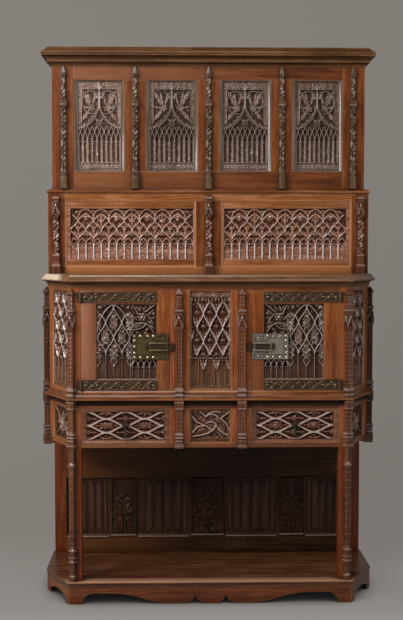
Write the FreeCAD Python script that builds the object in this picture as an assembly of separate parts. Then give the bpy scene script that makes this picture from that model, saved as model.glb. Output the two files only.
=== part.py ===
"""A carved oak dressoir of four tiers: an open stage on a plinth, a frieze of two drawers,
a cabinet with canted corners and two doors, and a shallow gallery of two panelled tiers
under a cornice. Millimetres. +Z is up, the front faces -Y, and the origin is on the floor
at the middle of the plan."""
import FreeCAD, Part
import math
import os
from FreeCAD import Vector

# Plan of the carcass
carcass_depth = 470.0
mould_overhang = 26.0
front_half_width = 562.0
cant_width = 120.0
cant_depth = 216.5
plinth_front_step = 20.0
plinth_side_step = 10.0

# Heights of the tiers, from the floor up
plinth_height = 66.0
platform_thickness = 24.0
stage_height = 551.0
sill_rail_height = 16.0
drawer_opening_height = 145.0
waist_rail_height = 74.0
door_opening_height = 408.0
head_rail_height = 37.0
worktop_thickness = 24.0
gradin_height = 343.0
gradin_cap_thickness = 18.0
gallery_height = 514.0
cornice_height = 80.0

# Framing of the carcass
frame_thickness = 28.0
centre_half = 85.0
centre_stile_width = 80.0
front_post_face = 36.0
post_depth = 49.0
cant_stile = 40.0
corner_post_return = 40.0
corner_post_drop = 11.0
rear_post_width = 50.0
rear_post_depth = 30.0
tenon_length = 18.0
tenon_thickness = 9.0
tenon_shoulder_share = 0.2
panel_tongue = 6.0
panel_thickness = 9.0
panel_recess = 12.0
field_margin = 5.0
field_relief = 7.0
board_thickness = 14.0
soffit_thickness = 8.0
back_board_thickness = 10.0
back_board_count = 4
back_frame_thickness = 24.0
back_board_setback = 8.0

# Back of the open stage
stage_bottom_rail = 76.0
stage_panel_height = 262.0
stage_rail_rise = 19.0
stage_muntin_half = 78.0
stage_outer_muntin_centre = 376.0
stage_outer_muntin_width = 121.0
linen_folds = 5
linen_margin = 16.0
linen_fold_depth = 7.0
linen_valley = 1.5

# Plinth
apron_thickness = 24.0
foot_width = 57.0
platform_edge_fillet = 7.0
platform_edge_step = 3.0
cant_foot = 34.0
cant_arch_rise = 40.0
# Half of the scalloped lower edge: places across as shares of the plinth's half front,
# heights as shares of the plinth's height.
lobe_flat_shares = (0.052, 0.038)
lobe_side_shares = (0.083, 0.22)
cusp_shares = (0.107, 0.67)
side_lobe_shares = (0.132, 0.23)
side_lobe_start_shares = (0.18, 0.038)
side_lobe_end_shares = (0.258, 0.038)
sweep_low_shares = (0.364, 0.115)
sweep_middle_shares = (0.464, 0.33)
sweep_high_shares = (0.593, 0.61)
sweep_end_shares = (0.722, 0.69)
arch_start_shares = (0.825, 0.69)
arch_bend_shares = (0.879, 0.49)

# Mouldings: (stand-out from the face, height above the foot of the moulding)
string_cove_height = 24.0
string_rise = 34.0
drip_fillet = 4.0
string_nose_share = 0.45
string_ogee_share = 0.5
cove_start = 2.0
cove_facets = 5
worktop_nose = 3.0
worktop_fillet = 4.0
cornice_bed_height = 26.0
cornice_bed_out = 18.0
cornice_out = 39.0
cornice_cove_height = 15.0
cornice_fascia = 23.0
cornice_nose = 14.0
cap_out = 6.0
cap_nose = 5.0
cap_edge = 5.0

# Gallery: the lower tier (gradin) and the upper tier
gradin_setback = 264.0
upper_setback = 280.0
upper_inset = 17.0
gallery_frame_thickness = 26.0
gradin_bottom_rail = 30.0
gradin_top_rail = 34.0
gradin_end_stile = 72.0
gradin_centre_half = 54.0
upper_bottom_rail = 74.0
upper_top_rail = 55.0
upper_end_stile = 94.0
upper_muntin_width = 89.0
upper_muntin_shift = 4.0
gallery_board_thickness = 16.0
cornice_board_thickness = 15.0

# Tracery of the gallery panels
tracery_width = 8.0
tracery_sink = 1.0
gradin_lights = 16
upper_lights = 9
upper_window_side = 18.0
upper_window_end = 12.0
# Places on a gallery panel, as shares of its opening or of its window, chosen by hand
gradin_window_across = (0.022, 0.959)
gradin_window_up = (0.114, 0.883)
gradin_spring_share = 0.31
gradin_rise_share = 0.42
upper_sill_share = 0.10
upper_spring_share = 0.31
upper_crown_share = 0.48
leg_foot_share = 0.475
stem_share = 0.77
fleuron_share = 0.98
fleuron_half_share = 0.14
# An ogee leg from its foot to its tip, as shares of its reach and of its rise
arch_leg = ((0.0, 0.0), (0.16, 0.32), (0.84, 0.65), (1.0, 1.0))
great_leg = ((0.0, 0.0), (0.40, 0.13), (0.78, 0.48), (1.0, 1.0))

# Pinnacles and buttresses
buttress_width = 37.0
buttress_stand = 24.0
front_corner_stand = 19.0
buttress_shaft = 25.0
buttress_drop = 18.0
inner_buttress_shift = 3.0
pinnacle_gap = 5.0
gradin_pinnacle_width = 35.0
gradin_pinnacle_inset = 35.0
upper_pinnacle_width = 29.0
upper_pinnacle_inset = 51.0
colonnette_width = 34.0
# Places up a pinnacle, as shares of its height, chosen by hand
base_top_share = 0.055
base_mould_share = 0.068
ring_shares = (0.07, 0.08, 0.085, 0.096)
gable_shares = (0.60, 0.64, 0.70)
spire_top_share = 0.95
colonnette_base_share = 0.165
colonnette_ring_shares = (0.165, 0.185, 0.235, 0.278)

# Doors
door_thickness = 22.0
door_gap = 0.6
door_lock_gap = 1.6
hinge_stile = 59.0
lock_stile = 47.0
door_top_rail = 53.0
door_bottom_rail = 39.0
door_swing_clearance = 6.0

# Iron work
iron_sheet = 3.0
strap_height = 40.0
strap_end_gap = 50.0
strap_inset = 7.0
strap_slot_height = 9.0
strap_slot_length = 74.0
strap_slot_count = 3
pin_radius = 3.0
pin_clearance = 0.05
knuckle_radius = 5.5
eye_height = 18.0
knuckle_gap = 0.4
leaf_width = 15.0
leaf_sheet = 2.0
top_strap_drop = 28.0
bottom_strap_rise = 21.5
lock_plate_width = 148.0
lock_plate_height = 106.0
lock_plate_edge = 3.0
lock_centre_rise = 179.0
bolt_height = 24.0
bolt_thickness = 7.0
bolt_throw = 18.0
bolt_end_gap = 0.9
bolt_knob_gap = 2.0
bolt_clearance = 0.4
guide_lip = 5.0
guide_length = 76.0
guide_offset = 4.0
staple_width = 9.0
staple_sheet = 2.5
bolt_knob_radius = 5.0
bolt_knob_height = 5.0
stud_radius = 3.5
stud_height = 2.6
stud_inset = 7.0
studs_per_side = 4

# Drawers
drawer_gap = 0.5
drawer_front_thickness = 20.0
drawer_side_thickness = 12.0
drawer_lap = 10.0
drawer_top_play = 3.5
drawer_rear_play = 20.0
drawer_bottom_thickness = 8.0
drawer_bottom_rise = 5.0
drawer_bottom_tongue = 5.0
drawer_back_drop = 8.0
drawer_field_margin = 11.0
drawer_field_depth = 5.0
runner_gap = 0.3
runner_width = 20.0
guide_width = 14.0
guide_height = 40.0
kicker_height = 16.0

# Drawer pulls
boss_radius = 11.0
boss_stand = 5.0
boss_rise = 10.0
pull_axis_stand = 12.0
pull_pin_radius = 2.0
ear_thickness = 4.0
eye_length = 8.0
ear_gap = 0.3
pull_eye_radius = 5.0
pull_stem_radius = 3.5
pull_drop_radius = 7.5
pull_length = 46.0

# One overrun serves all cuts
overrun = 10.0

# Places worked out from the sizes above
side_half_width = front_half_width + cant_width
upper_half_width = side_half_width - upper_inset
plinth_front_half = front_half_width + plinth_front_step
plinth_side_half = side_half_width + plinth_side_step
bay_edge_inner = centre_half + centre_stile_width
bay_edge_outer = front_half_width - front_post_face
inner_buttress_centre = (centre_half + bay_edge_inner) / 2 + inner_buttress_shift
gradin_pinnacle_centre = side_half_width - gradin_pinnacle_inset
upper_pinnacle_centre = upper_half_width - upper_pinnacle_inset
upper_bay_centre = (upper_half_width - upper_end_stile + upper_muntin_width / 2) / 2
upper_muntin_centre = upper_bay_centre + upper_muntin_shift
y_front = -carcass_depth / 2
y_back = carcass_depth / 2
y_face = y_front + mould_overhang
cant = math.atan2(cant_depth, cant_width)
cant_angle = math.degrees(cant)
cant_length = math.hypot(cant_width, cant_depth)
y_widest = y_face + cant_depth
y_rear_post = y_back - rear_post_depth
y_back_boards = y_rear_post + back_board_setback
y_gradin = y_front + gradin_setback
y_upper = y_front + upper_setback
z_platform = plinth_height + platform_thickness
z_tier = z_platform + stage_height
z_drawer = z_tier + sill_rail_height
z_waist = z_drawer + drawer_opening_height
z_door = z_waist + waist_rail_height
z_head = z_door + door_opening_height
z_board = z_head + head_rail_height
z_worktop = z_board + worktop_thickness
z_cap = z_worktop + gradin_height
z_upper = z_cap + gradin_cap_thickness
z_cornice = z_upper + gallery_height
z_top = z_cornice + cornice_height
z_drip = z_door - string_rise - drip_fillet
z_string_foot = z_drip - string_cove_height
z_floor = z_door - drip_fillet - board_thickness


def block(low, high):
    """A box between two opposite corners."""
    size = Vector(*high) - Vector(*low)
    return Part.makeBox(size.x, size.y, size.z, Vector(*low))


def slab(across, up, back):
    """A board in a frame's own terms: spans across, up, and back from its face."""
    return block((across[0], back[0], up[0]), (across[1], back[1], up[1]))


def prism(points, z_low, z_high):
    """A flat outline in plan, raised from one height to another."""
    corners = [Vector(x, y, z_low) for x, y in points]
    face = Part.Face(Part.makePolygon(corners + corners[:1]))
    return face.extrude(Vector(0, 0, z_high - z_low))


def rod(centre, direction, radius, length):
    """A round bar that starts at a point and runs along a direction."""
    return Part.makeCylinder(radius, length, Vector(*centre), Vector(*direction))


def placed(shape, origin, turn):
    """A shape turned about Z and moved to its origin in plan."""
    spin = FreeCAD.Rotation(Vector(0, 0, 1), turn)
    moved = shape.copy()
    moved.Placement = FreeCAD.Placement(Vector(*origin), spin).multiply(moved.Placement)
    return moved


def mirrored(shape):
    """The same shape on the other side of the middle plane."""
    return shape.mirror(Vector(0, 0, 0), Vector(1, 0, 0))


def both_sides(shapes):
    """Right-hand shapes and their left-hand twins."""
    return list(shapes) + [mirrored(shape) for shape in shapes]


def joined(shapes):
    """Several touching solids made one."""
    return shapes[0].multiFuse(shapes[1:]).removeSplitter()


def cut_by(shape, cutters):
    """A shape with the room that other pieces need taken out of it."""
    return shape.cut(Part.makeCompound(cutters)) if cutters else shape


def canted_outline(front_half, side_half, face_y, rear_y, offset):
    """Plan of a carcass with canted corners, from its right rear round to its left rear."""
    front_x = front_half + offset * math.tan(cant / 2)
    side_shift = offset * math.tan((math.pi / 2 - cant) / 2)
    side_y = face_y + (side_half - front_half) * math.tan(cant) - side_shift
    right = [(side_half + offset, rear_y), (side_half + offset, side_y), (front_x, face_y - offset)]
    return right + [(-x, y) for x, y in reversed(right)]


def carcass_outline(offset):
    """Plan of the carcass, let out or drawn in by an offset."""
    return canted_outline(front_half_width, side_half_width, y_face, y_back, offset)


def plinth_outline(offset):
    """Plan of the plinth, let out or drawn in by an offset."""
    return canted_outline(plinth_front_half, plinth_side_half, y_front, y_back, offset)


def square_outline(half, face_y):
    """Gives the plan of a square-cornered tier at any offset."""
    def outline(offset):
        right = [(half + offset, y_back), (half + offset, face_y - offset)]
        return right + [(-x, y) for x, y in reversed(right)]
    return outline


def skinned(near, far):
    """A solid with flat sides between two outlines that have the same number of corners."""
    sides = zip(near, near[1:] + near[:1], far[1:] + far[:1], far)
    loops = [near, far] + [list(corners) for corners in sides]
    shell = Part.makeShell([Part.Face(Part.makePolygon(loop + loop[:1])) for loop in loops])
    shell.sewShape()
    solid = Part.makeSolid(shell)
    return solid.reversed() if solid.Volume < 0 else solid


def moulding(profile, outline):
    """Mitred lengths of one moulding, one length for each side of a plan.

    The profile is a list of (stand-out, height) points."""
    rings = [outline(out) for out, height in profile]
    ends = []
    for corner in range(len(rings[0])):
        ends.append([Vector(*ring[corner], point[1]) for ring, point in zip(rings, profile)])
    return [skinned(near, far) for near, far in zip(ends, ends[1:])]


def sloped(outline, low, high):
    """A board whose edges slope between two (stand-out, height) points of a plan."""
    rings = [[Vector(x, y, z) for x, y in outline(out)] for out, z in (low, high)]
    return skinned(*rings)


def cove(start, end, facets):
    """Points of a hollow quarter curve from a low inner point to a high outer point."""
    points = []
    for step in range(facets + 1):
        angle = math.pi / 2 * step / facets
        out = start[0] + (end[0] - start[0]) * (1 - math.cos(angle))
        height = start[1] + (end[1] - start[1]) * math.sin(angle)
        points.append((out, height))
    return points


def rail(across, up, thickness):
    """A rail with a tenon at each end."""
    shoulder = (up[1] - up[0]) * tenon_shoulder_share
    cheek = (thickness - tenon_thickness) / 2
    tenon = slab((across[0] - tenon_length, across[1] + tenon_length),
                 (up[0] + shoulder, up[1] - shoulder), (cheek, thickness - cheek))
    return joined([slab(across, up, (0, thickness)), tenon])


def muntin(across, up, thickness, tenon=tenon_length):
    """An upright between two rails, with a tenon at its head and foot."""
    shoulder = (across[1] - across[0]) * tenon_shoulder_share
    cheek = (thickness - tenon_thickness) / 2
    tongue = slab((across[0] + shoulder, across[1] - shoulder),
                  (up[0] - tenon, up[1] + tenon), (cheek, thickness - cheek))
    return joined([slab(across, up, (0, thickness)), tongue])


def panel(across, up):
    """A panel whose edges run into grooves and whose carved field stands forward."""
    edge = slab((across[0] - panel_tongue, across[1] + panel_tongue),
                (up[0] - panel_tongue, up[1] + panel_tongue),
                (panel_recess, panel_recess + panel_thickness))
    field = slab((across[0] + field_margin, across[1] - field_margin),
                 (up[0] + field_margin, up[1] - field_margin),
                 (panel_recess - field_relief, panel_recess))
    return joined([edge, field])


def bar(start, end):
    """A straight bar of tracery between two (across, up) points of a panel."""
    along = Vector(end[0] - start[0], 0, end[1] - start[1]).normalize() * (tracery_width / 2)
    aside = Vector(along.z, 0, -along.x)
    front = panel_recess - field_relief
    first = Vector(start[0], front, start[1]) - along / 2
    last = Vector(end[0], front, end[1]) + along / 2
    corners = [first - aside, first + aside, last + aside, last - aside]
    face = Part.Face(Part.makePolygon(corners + corners[:1]))
    return face.extrude(Vector(0, field_relief + tracery_sink, 0))


def ogee_leg(foot, tip, shares):
    """Points of one leg of an ogee arch, from its foot to its tip."""
    return [(foot[0] + along * (tip[0] - foot[0]), foot[1] + rise * (tip[1] - foot[1]))
            for along, rise in shares]


def traceried(across, up, window_across, window_up, lines):
    """A panel with a sunk window that is crossed by bars of tracery."""
    front = panel_recess - field_relief - tracery_sink
    board = panel(across, up).cut(slab(window_across, window_up, (front, panel_recess)))
    window = slab(window_across, window_up, (front, panel_recess + tracery_sink))
    bars = [bar(start, end) for line in lines for start, end in zip(line, line[1:])]
    return joined([board] + [piece.common(window) for piece in bars])


def between(span, share):
    """The place at a share of the way along a span."""
    return span[0] + share * (span[1] - span[0])


def gradin_panel(across, up):
    """A long panel: mullions under crossing ogee arches."""
    wide = [between(across, share) for share in gradin_window_across]
    tall = [between(up, share) for share in gradin_window_up]
    pitch = (wide[1] - wide[0]) / gradin_lights
    spring = between(tall, gradin_spring_share)
    crown = spring + gradin_rise_share * (tall[1] - tall[0])
    lines = []
    for number in range(1, gradin_lights):
        x = wide[0] + number * pitch
        lines.append([(x, tall[0]), (x, spring)])
        if number % 2 == 0:
            lines += [ogee_leg((x + reach, spring), (x, crown), arch_leg)
                      for reach in (-2 * pitch, 2 * pitch)]
            lines.append([(x, crown), (x, tall[1])])
    return traceried(across, up, wide, tall, lines)


def upper_panel(across, up):
    """An upper panel: a great ogee arch with a fleuron over crossing lancets."""
    wide = (across[0] + upper_window_side, across[1] - upper_window_side)
    tall = (up[0] + upper_window_end, up[1] - upper_window_end)
    middle = between(wide, 0.5)
    pitch = (wide[1] - wide[0]) / upper_lights
    sill, spring, crown, foot, stem, tip = [between(tall, share) for share in (
        upper_sill_share, upper_spring_share, upper_crown_share, leg_foot_share, stem_share,
        fleuron_share)]
    lines = [[(wide[0], sill), (wide[1], sill)], [(middle, stem), (middle, tip)]]
    for number in range(1, upper_lights):
        x = wide[0] + number * pitch
        lines.append([(x, sill), (x, spring)])
        lines += [[(x, spring), (x + reach, crown)] for reach in (-pitch, pitch)]
    petal = fleuron_half_share * (wide[1] - wide[0])
    for side, edge in ((-1, wide[0]), (1, wide[1])):
        lines.append(ogee_leg((edge, foot), (middle, stem), great_leg))
        low = (middle, tip - 2 * petal)
        lines.append([low, (middle + side * petal, tip - petal), (middle, tip)])
    return traceried(across, up, wide, tall, lines)


def regular(sides, across, turn, z):
    """A regular outline at a height, measured across its flats."""
    radius = across / 2 / math.cos(math.pi / sides)
    points = []
    for corner in range(sides):
        angle = turn + math.pi * (2 * corner + 1) / sides
        points.append(Vector(radius * math.cos(angle), radius * math.sin(angle), z))
    return points


def stage(z_span, widths, sides=4, turn=0):
    """One stage of a pinnacle, straight or tapered, about the Z axis."""
    low = regular(sides, widths[0], turn, z_span[0])
    high = regular(sides, widths[1], turn, z_span[1])
    return skinned(low, high)


def shaft(z_span, widths):
    """A slim stage set with an edge to the front."""
    return stage(z_span, widths, turn=math.pi / 4)


def pinnacle(z_low, z_high, width, core):
    """A pinnacle: base, rings, edge-on shaft, gablet, spire and finial."""
    height = z_high - z_low
    place = [z_low + height * share for share in ring_shares + gable_shares]
    z_base = z_low + height * base_top_share
    z_mould = z_low + height * base_mould_share
    z_spire = z_low + height * spire_top_share
    slim = core * tenon_shoulder_share
    return joined([
        stage((z_low, z_base), (width, width)),
        stage((z_base, z_mould), (width, core)),
        shaft((z_mould, place[4]), (core, core)),
        stage((place[0], place[1]), (width - slim, width - slim), 8),
        stage((place[2], place[3]), (width - slim, width - slim), 8),
        stage((place[4], place[5]), (core, width)),
        stage((place[5], place[6]), (width, core)),
        shaft((place[6], z_spire), (core - slim, core / 2)),
        stage((z_spire, z_high), (core, core / 2)),
    ])


def seated(shape, place, turn, body):
    """A pinnacle moved to its place and cut to sit flat on what carries it."""
    return placed(shape, (place[0], place[1], 0), turn).cut(body)


def carcass_prism(z_low, z_high):
    """The whole space of the carcass between two heights."""
    return prism(carcass_outline(0), z_low, z_high)


def cant_placed(shape):
    """A board in a canted frame's own terms, moved to the right-hand cant."""
    return placed(shape, (front_half_width, y_face, 0), cant_angle)


def side_placed(shape):
    """A board in a side frame's own terms, moved to the right-hand side."""
    return placed(shape, (side_half_width, y_widest, 0), 90)


def cant_point(along, back):
    """A point in plan, measured along the right-hand cant and back from its face."""
    x = front_half_width + along * math.cos(cant) - back * math.sin(cant)
    y = y_face + along * math.sin(cant) + back * math.cos(cant)
    return (x, y)


def shelf(z_low, z_high, rear_y):
    """A board that fills the carcass and runs a tongue into its frames."""
    draw_in = panel_tongue - frame_thickness
    points = canted_outline(front_half_width, side_half_width, y_face, rear_y, draw_in)
    return prism(points, z_low, z_high)


# Plinth and platform

def apron_edge(side):
    """One half of the scalloped lower edge of the front apron, from its foot to the middle."""
    def spot(shares):
        return Vector(side * shares[0] * plinth_front_half, 0, shares[1] * plinth_height)

    foot = Vector(side * (plinth_front_half - foot_width), 0, 0)
    stretches = [
        (foot, spot(arch_bend_shares), spot(arch_start_shares)),
        (spot(arch_start_shares), None, spot(sweep_end_shares)),
        (spot(sweep_end_shares), spot(sweep_high_shares), spot(sweep_middle_shares)),
        (spot(sweep_middle_shares), spot(sweep_low_shares), spot(side_lobe_end_shares)),
        (spot(side_lobe_end_shares), None, spot(side_lobe_start_shares)),
        (spot(side_lobe_start_shares), spot(side_lobe_shares), spot(cusp_shares)),
        (spot(cusp_shares), spot(lobe_side_shares), spot(lobe_flat_shares)),
        (spot(lobe_flat_shares), None, Vector(0, 0, lobe_flat_shares[1] * plinth_height)),
    ]
    return [bent_edge(*stretch) for stretch in stretches]


def bent_edge(start, middle, end):
    """An arc through three points, or a straight edge where it has no middle."""
    if middle is None:
        return Part.makeLine(start, end)
    return Part.Arc(start, middle, end).toShape()


def apron_cutter():
    """The space under the front apron."""
    foot_x = plinth_front_half - foot_width
    below = [Vector(-foot_x, 0, 0), Vector(-foot_x, 0, -overrun),
             Vector(foot_x, 0, -overrun), Vector(foot_x, 0, 0)]
    edges = apron_edge(1) + apron_edge(-1) + Part.makePolygon(below).Edges
    face = Part.Face(Part.Wire(Part.__sortEdges__(edges)))
    face.translate(Vector(0, y_front - overrun, 0))
    return face.extrude(Vector(0, apron_thickness + 2 * overrun, 0))


def arch_cutter(length):
    """A low arch through an apron, in the apron's own terms."""
    half = length / 2 - cant_foot
    springing = cant_arch_rise / 2
    low_left = Vector(-half, -overrun, -overrun)
    left = Vector(-half, -overrun, springing)
    crown = Vector(0, -overrun, cant_arch_rise)
    right = Vector(half, -overrun, springing)
    low_right = Vector(half, -overrun, -overrun)
    edges = [Part.makeLine(low_left, left), Part.Arc(left, crown, right).toShape(),
             Part.makeLine(right, low_right), Part.makeLine(low_right, low_left)]
    return Part.Face(Part.Wire(edges)).extrude(Vector(0, apron_thickness + 2 * overrun, 0))


def plinth():
    """The aprons of the plinth, mitred at each corner, with feet left by their arches."""
    profile = [(-apron_thickness, 0), (-platform_edge_step, 0),
               (-platform_edge_step, plinth_height), (-apron_thickness, plinth_height)]
    side, cant_board, front = moulding(profile, plinth_outline)[:3]
    front = front.cut(apron_cutter())
    run = plinth_outline(-platform_edge_step)
    middles = [((a[0] + b[0]) / 2, (a[1] + b[1]) / 2, 0) for a, b in zip(run, run[1:])]
    lengths = [math.dist(a, b) for a, b in zip(run, run[1:])]
    side = side.cut(placed(arch_cutter(lengths[0]), middles[0], 90))
    cant_board = cant_board.cut(placed(arch_cutter(lengths[1]), middles[1], cant_angle))
    inner = plinth_side_half - apron_thickness
    back = block((-inner, y_back - apron_thickness, cant_arch_rise), (inner, y_back, plinth_height))
    return front, both_sides([side, cant_board]) + [back]


def platform():
    """The board of the open stage, with a fillet and a step round its edge."""
    z_step = z_platform - platform_edge_fillet
    upper = prism(plinth_outline(0), z_step, z_platform)
    lower = prism(plinth_outline(-platform_edge_step), plinth_height, z_step)
    return joined([upper, lower])


# Posts, rails and boards of the carcass

def front_post():
    """A front post, from the platform to the worktop, bevelled for the cant."""
    points = [(bay_edge_outer, y_face), (front_half_width, y_face), cant_point(cant_stile, 0),
              cant_point(cant_stile, frame_thickness), (bay_edge_outer, y_face + post_depth)]
    return prism(points, z_platform, z_board)


def corner_post():
    """The post of the widest corner, which hangs below the drawer tier."""
    start = cant_length - cant_stile
    y_return = y_widest + corner_post_return
    points = [cant_point(start, 0), (side_half_width, y_widest), (side_half_width, y_return),
              (side_half_width - frame_thickness, y_return), cant_point(start, frame_thickness)]
    return prism(points, z_tier - corner_post_drop, z_board)


def rear_post():
    """A rear post, from the platform to the worktop."""
    low = (side_half_width - rear_post_width, y_rear_post, z_platform)
    return block(low, (side_half_width, y_back, z_board))


def front_rails():
    """The sill, waist and head rails between the front posts."""
    across = (-bay_edge_outer, bay_edge_outer)
    spans = [(z_tier, z_drawer), (z_waist, z_door), (z_head, z_board)]
    return [placed(rail(across, span, frame_thickness), (0, y_face, 0), 0) for span in spans]


def centre_stiles():
    """The uprights beside the middle panels, in the drawer tier and in the cabinet."""
    across = (centre_half, bay_edge_inner)
    low = muntin(across, (z_drawer, z_waist), frame_thickness, sill_rail_height / 2)
    high = muntin(across, (z_door, z_head), frame_thickness)
    return both_sides([placed(piece, (0, y_face, 0), 0) for piece in (low, high)])


def middle_panel(up):
    """A panel between the centre stiles."""
    return placed(panel((-centre_half, centre_half), up), (0, y_face, 0), 0)


def return_frames():
    """Rails and panels of the canted corners and of the sides, for both hands."""
    cant_across = (cant_stile, cant_length - cant_stile)
    side_across = (corner_post_return, y_rear_post - y_widest)
    levels = [(z_tier, z_drawer), (z_waist, z_door), (z_board - head_rail_height, z_board)]
    gaps = [(low[1], high[0]) for low, high in zip(levels, levels[1:])]
    rails = [cant_placed(rail(cant_across, level, frame_thickness)) for level in levels]
    rails += [side_placed(rail(side_across, level, frame_thickness)) for level in levels]
    cant_panels = [cant_placed(panel(cant_across, gap)) for gap in gaps]
    side_panels = [side_placed(panel(side_across, gap)) for gap in gaps]
    return both_sides(rails), both_sides(cant_panels), both_sides(side_panels)


def back_boards():
    """Upright boards that close the back of the drawer tier and of the cabinet."""
    half = side_half_width - rear_post_width + panel_tongue
    z_foot = z_tier + stage_rail_rise - panel_tongue
    width = 2 * half / back_board_count
    boards = []
    for number in range(back_board_count):
        x = -half + number * width
        high = (x + width, y_back_boards + back_board_thickness, z_board)
        boards.append(block((x, y_back_boards, z_foot), high))
    return boards


def linenfold(across, up):
    """A linenfold panel: upright folds worked on its face."""
    start = across[0] + linen_margin
    pitch = (across[1] - across[0] - 2 * linen_margin) / linen_folds
    valley = panel_recess - linen_valley
    crest = panel_recess - linen_fold_depth
    points = [(start, panel_recess), (start, valley)]
    for fold in range(linen_folds):
        x = start + fold * pitch
        points += [(x + pitch / 4, crest), (x + pitch * 3 / 4, crest), (x + pitch, valley)]
    points.append((start + linen_folds * pitch, panel_recess))
    folds = prism(points, up[0] + linen_margin, up[1] - linen_margin)
    edge = slab((across[0] - panel_tongue, across[1] + panel_tongue),
                (up[0] - panel_tongue, up[1] + panel_tongue),
                (panel_recess, back_frame_thickness - panel_tongue))
    return joined([edge, folds])


def stage_back():
    """Rails, muntins and linenfold panels behind the open stage."""
    edge = side_half_width - rear_post_width
    z_low = z_platform + stage_bottom_rail
    z_high = z_low + stage_panel_height
    near = stage_outer_muntin_centre - stage_outer_muntin_width / 2
    far = stage_outer_muntin_centre + stage_outer_muntin_width / 2
    rails = [rail((-edge, edge), (z_platform, z_low), back_frame_thickness),
             rail((-edge, edge), (z_high, z_tier + stage_rail_rise), back_frame_thickness)]
    middle = muntin((-stage_muntin_half, stage_muntin_half), (z_low, z_high), back_frame_thickness)
    outer = muntin((near, far), (z_low, z_high), back_frame_thickness)
    panels = [linenfold((stage_muntin_half, near), (z_low, z_high)),
              linenfold((far, edge), (z_low, z_high))]
    groups = [rails, [middle] + both_sides([outer]), both_sides(panels)]
    return [[placed(piece, (0, y_rear_post, 0), 0) for piece in group] for group in groups]


# Mouldings of the carcass

def buttress_gap(z_low, z_high):
    """The room that the front buttresses take out of a moulding."""
    half = buttress_width / 2
    gaps = []
    for side in (-1, 1):
        x = side * inner_buttress_centre
        low = (x - half, y_front - overrun, z_low - overrun)
        gaps.append(block(low, (x + half, y_face + overrun, z_high + overrun)))
    return gaps


def corner_gap(place, turn, z_low, z_high):
    """The room that a corner buttress takes out of a moulding, for both hands."""
    reach = buttress_width / 2
    space = block((-reach, -3 * reach, z_low - overrun), (reach, reach, z_high + overrun))
    return both_sides([placed(space, (place[0], place[1], 0), turn)])


def string_mould():
    """The string course between the drawers and the cabinet."""
    low = (0, z_string_foot)
    hollow = cove((cove_start, z_string_foot), (mould_overhang, z_drip), cove_facets)
    nose_z = z_drip + drip_fillet
    ogee_out = mould_overhang * string_nose_share
    ogee_z = nose_z + string_rise * string_ogee_share
    crest = [(mould_overhang, nose_z), (ogee_out, ogee_z), (0, z_door)]
    gaps = buttress_gap(z_string_foot, z_door)
    gaps += corner_gap(front_corner, front_corner_turn, z_string_foot, z_door)
    gaps += corner_gap(side_corner, side_corner_turn, z_string_foot, z_door)
    return [cut_by(run, gaps) for run in moulding([low] + hollow + crest, carcass_outline)]


def bed_mould():
    """The hollow moulding under the worktop."""
    z_low = z_board - string_cove_height
    out = mould_overhang - cove_start
    hollow = cove((cove_start, z_low), (out, z_board), cove_facets)
    return moulding([(0, z_low)] + hollow + [(0, z_board)], carcass_outline)


def worktop():
    """The worktop, with its sloped and filleted edge."""
    z_fillet = z_board + worktop_fillet
    z_crown = z_worktop - worktop_fillet / 2
    nose = carcass_outline(mould_overhang)
    lower = prism(nose, z_board, z_fillet)
    slope = sloped(carcass_outline, (mould_overhang - worktop_fillet / 2, z_fillet),
                   (worktop_nose, z_crown))
    upper = prism(carcass_outline(worktop_nose - worktop_fillet / 2), z_crown, z_worktop)
    return joined([lower, slope, upper])


# Buttresses and colonnettes

front_corner = (front_half_width, y_face)
front_corner_turn = cant_angle / 2
side_corner = (side_half_width, y_widest)
side_corner_turn = (cant_angle + 90) / 2


def buttress(z_low):
    """A buttress of two stages with a set-off at the string course, about the Z axis."""
    z_block = z_string_foot - pinnacle_gap
    z_off = z_drip + drip_fillet
    z_high = z_board - string_cove_height - pinnacle_gap
    full = (buttress_width, buttress_width)
    core = (buttress_shaft, buttress_shaft)
    height = z_block - z_low
    z_base = z_low + height * 2 * base_top_share + drip_fillet
    z_ring = z_base + drip_fillet
    slim = buttress_width - drip_fillet
    lower = [
        stage((z_low, z_base), full),
        shaft((z_base, z_block), core),
        stage((z_ring, z_ring + 2 * drip_fillet), (slim, slim), 8),
        stage((z_block, z_off), full),
    ]
    return joined(lower + [pinnacle(z_off, z_high, buttress_width, buttress_shaft)])


def corner_piece(shape, place, turn, stand):
    """A piece set on a corner of the carcass, standing forward of it, for both hands."""
    lean = math.radians(turn)
    forward = stand - buttress_width / 2
    spot = (place[0] + forward * math.sin(lean), place[1] - forward * math.cos(lean))
    body = carcass_prism(0, z_top)
    return both_sides([seated(shape, spot, turn, body)])


def inner_buttresses():
    """The two buttresses beside the middle panels."""
    forward = y_face - (buttress_stand - buttress_width / 2)
    body = carcass_prism(0, z_top)
    return both_sides([seated(buttress(z_tier), (inner_buttress_centre, forward), 0, body)])


def colonnettes():
    """The slim columns on the front posts of the open stage."""
    height = stage_height
    low, mid, high, top = [z_platform + height * share for share in colonnette_ring_shares]
    wide = (colonnette_width, colonnette_width)
    core = (buttress_shaft, buttress_shaft)
    column = joined([
        stage((z_platform, z_platform + height * colonnette_base_share), core),
        stage((low, mid), wide, 8),
        shaft((mid, z_tier), core),
        stage((high, top), wide, 8),
    ])
    return corner_piece(column, front_corner, front_corner_turn, front_corner_stand)


# Gallery

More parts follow.
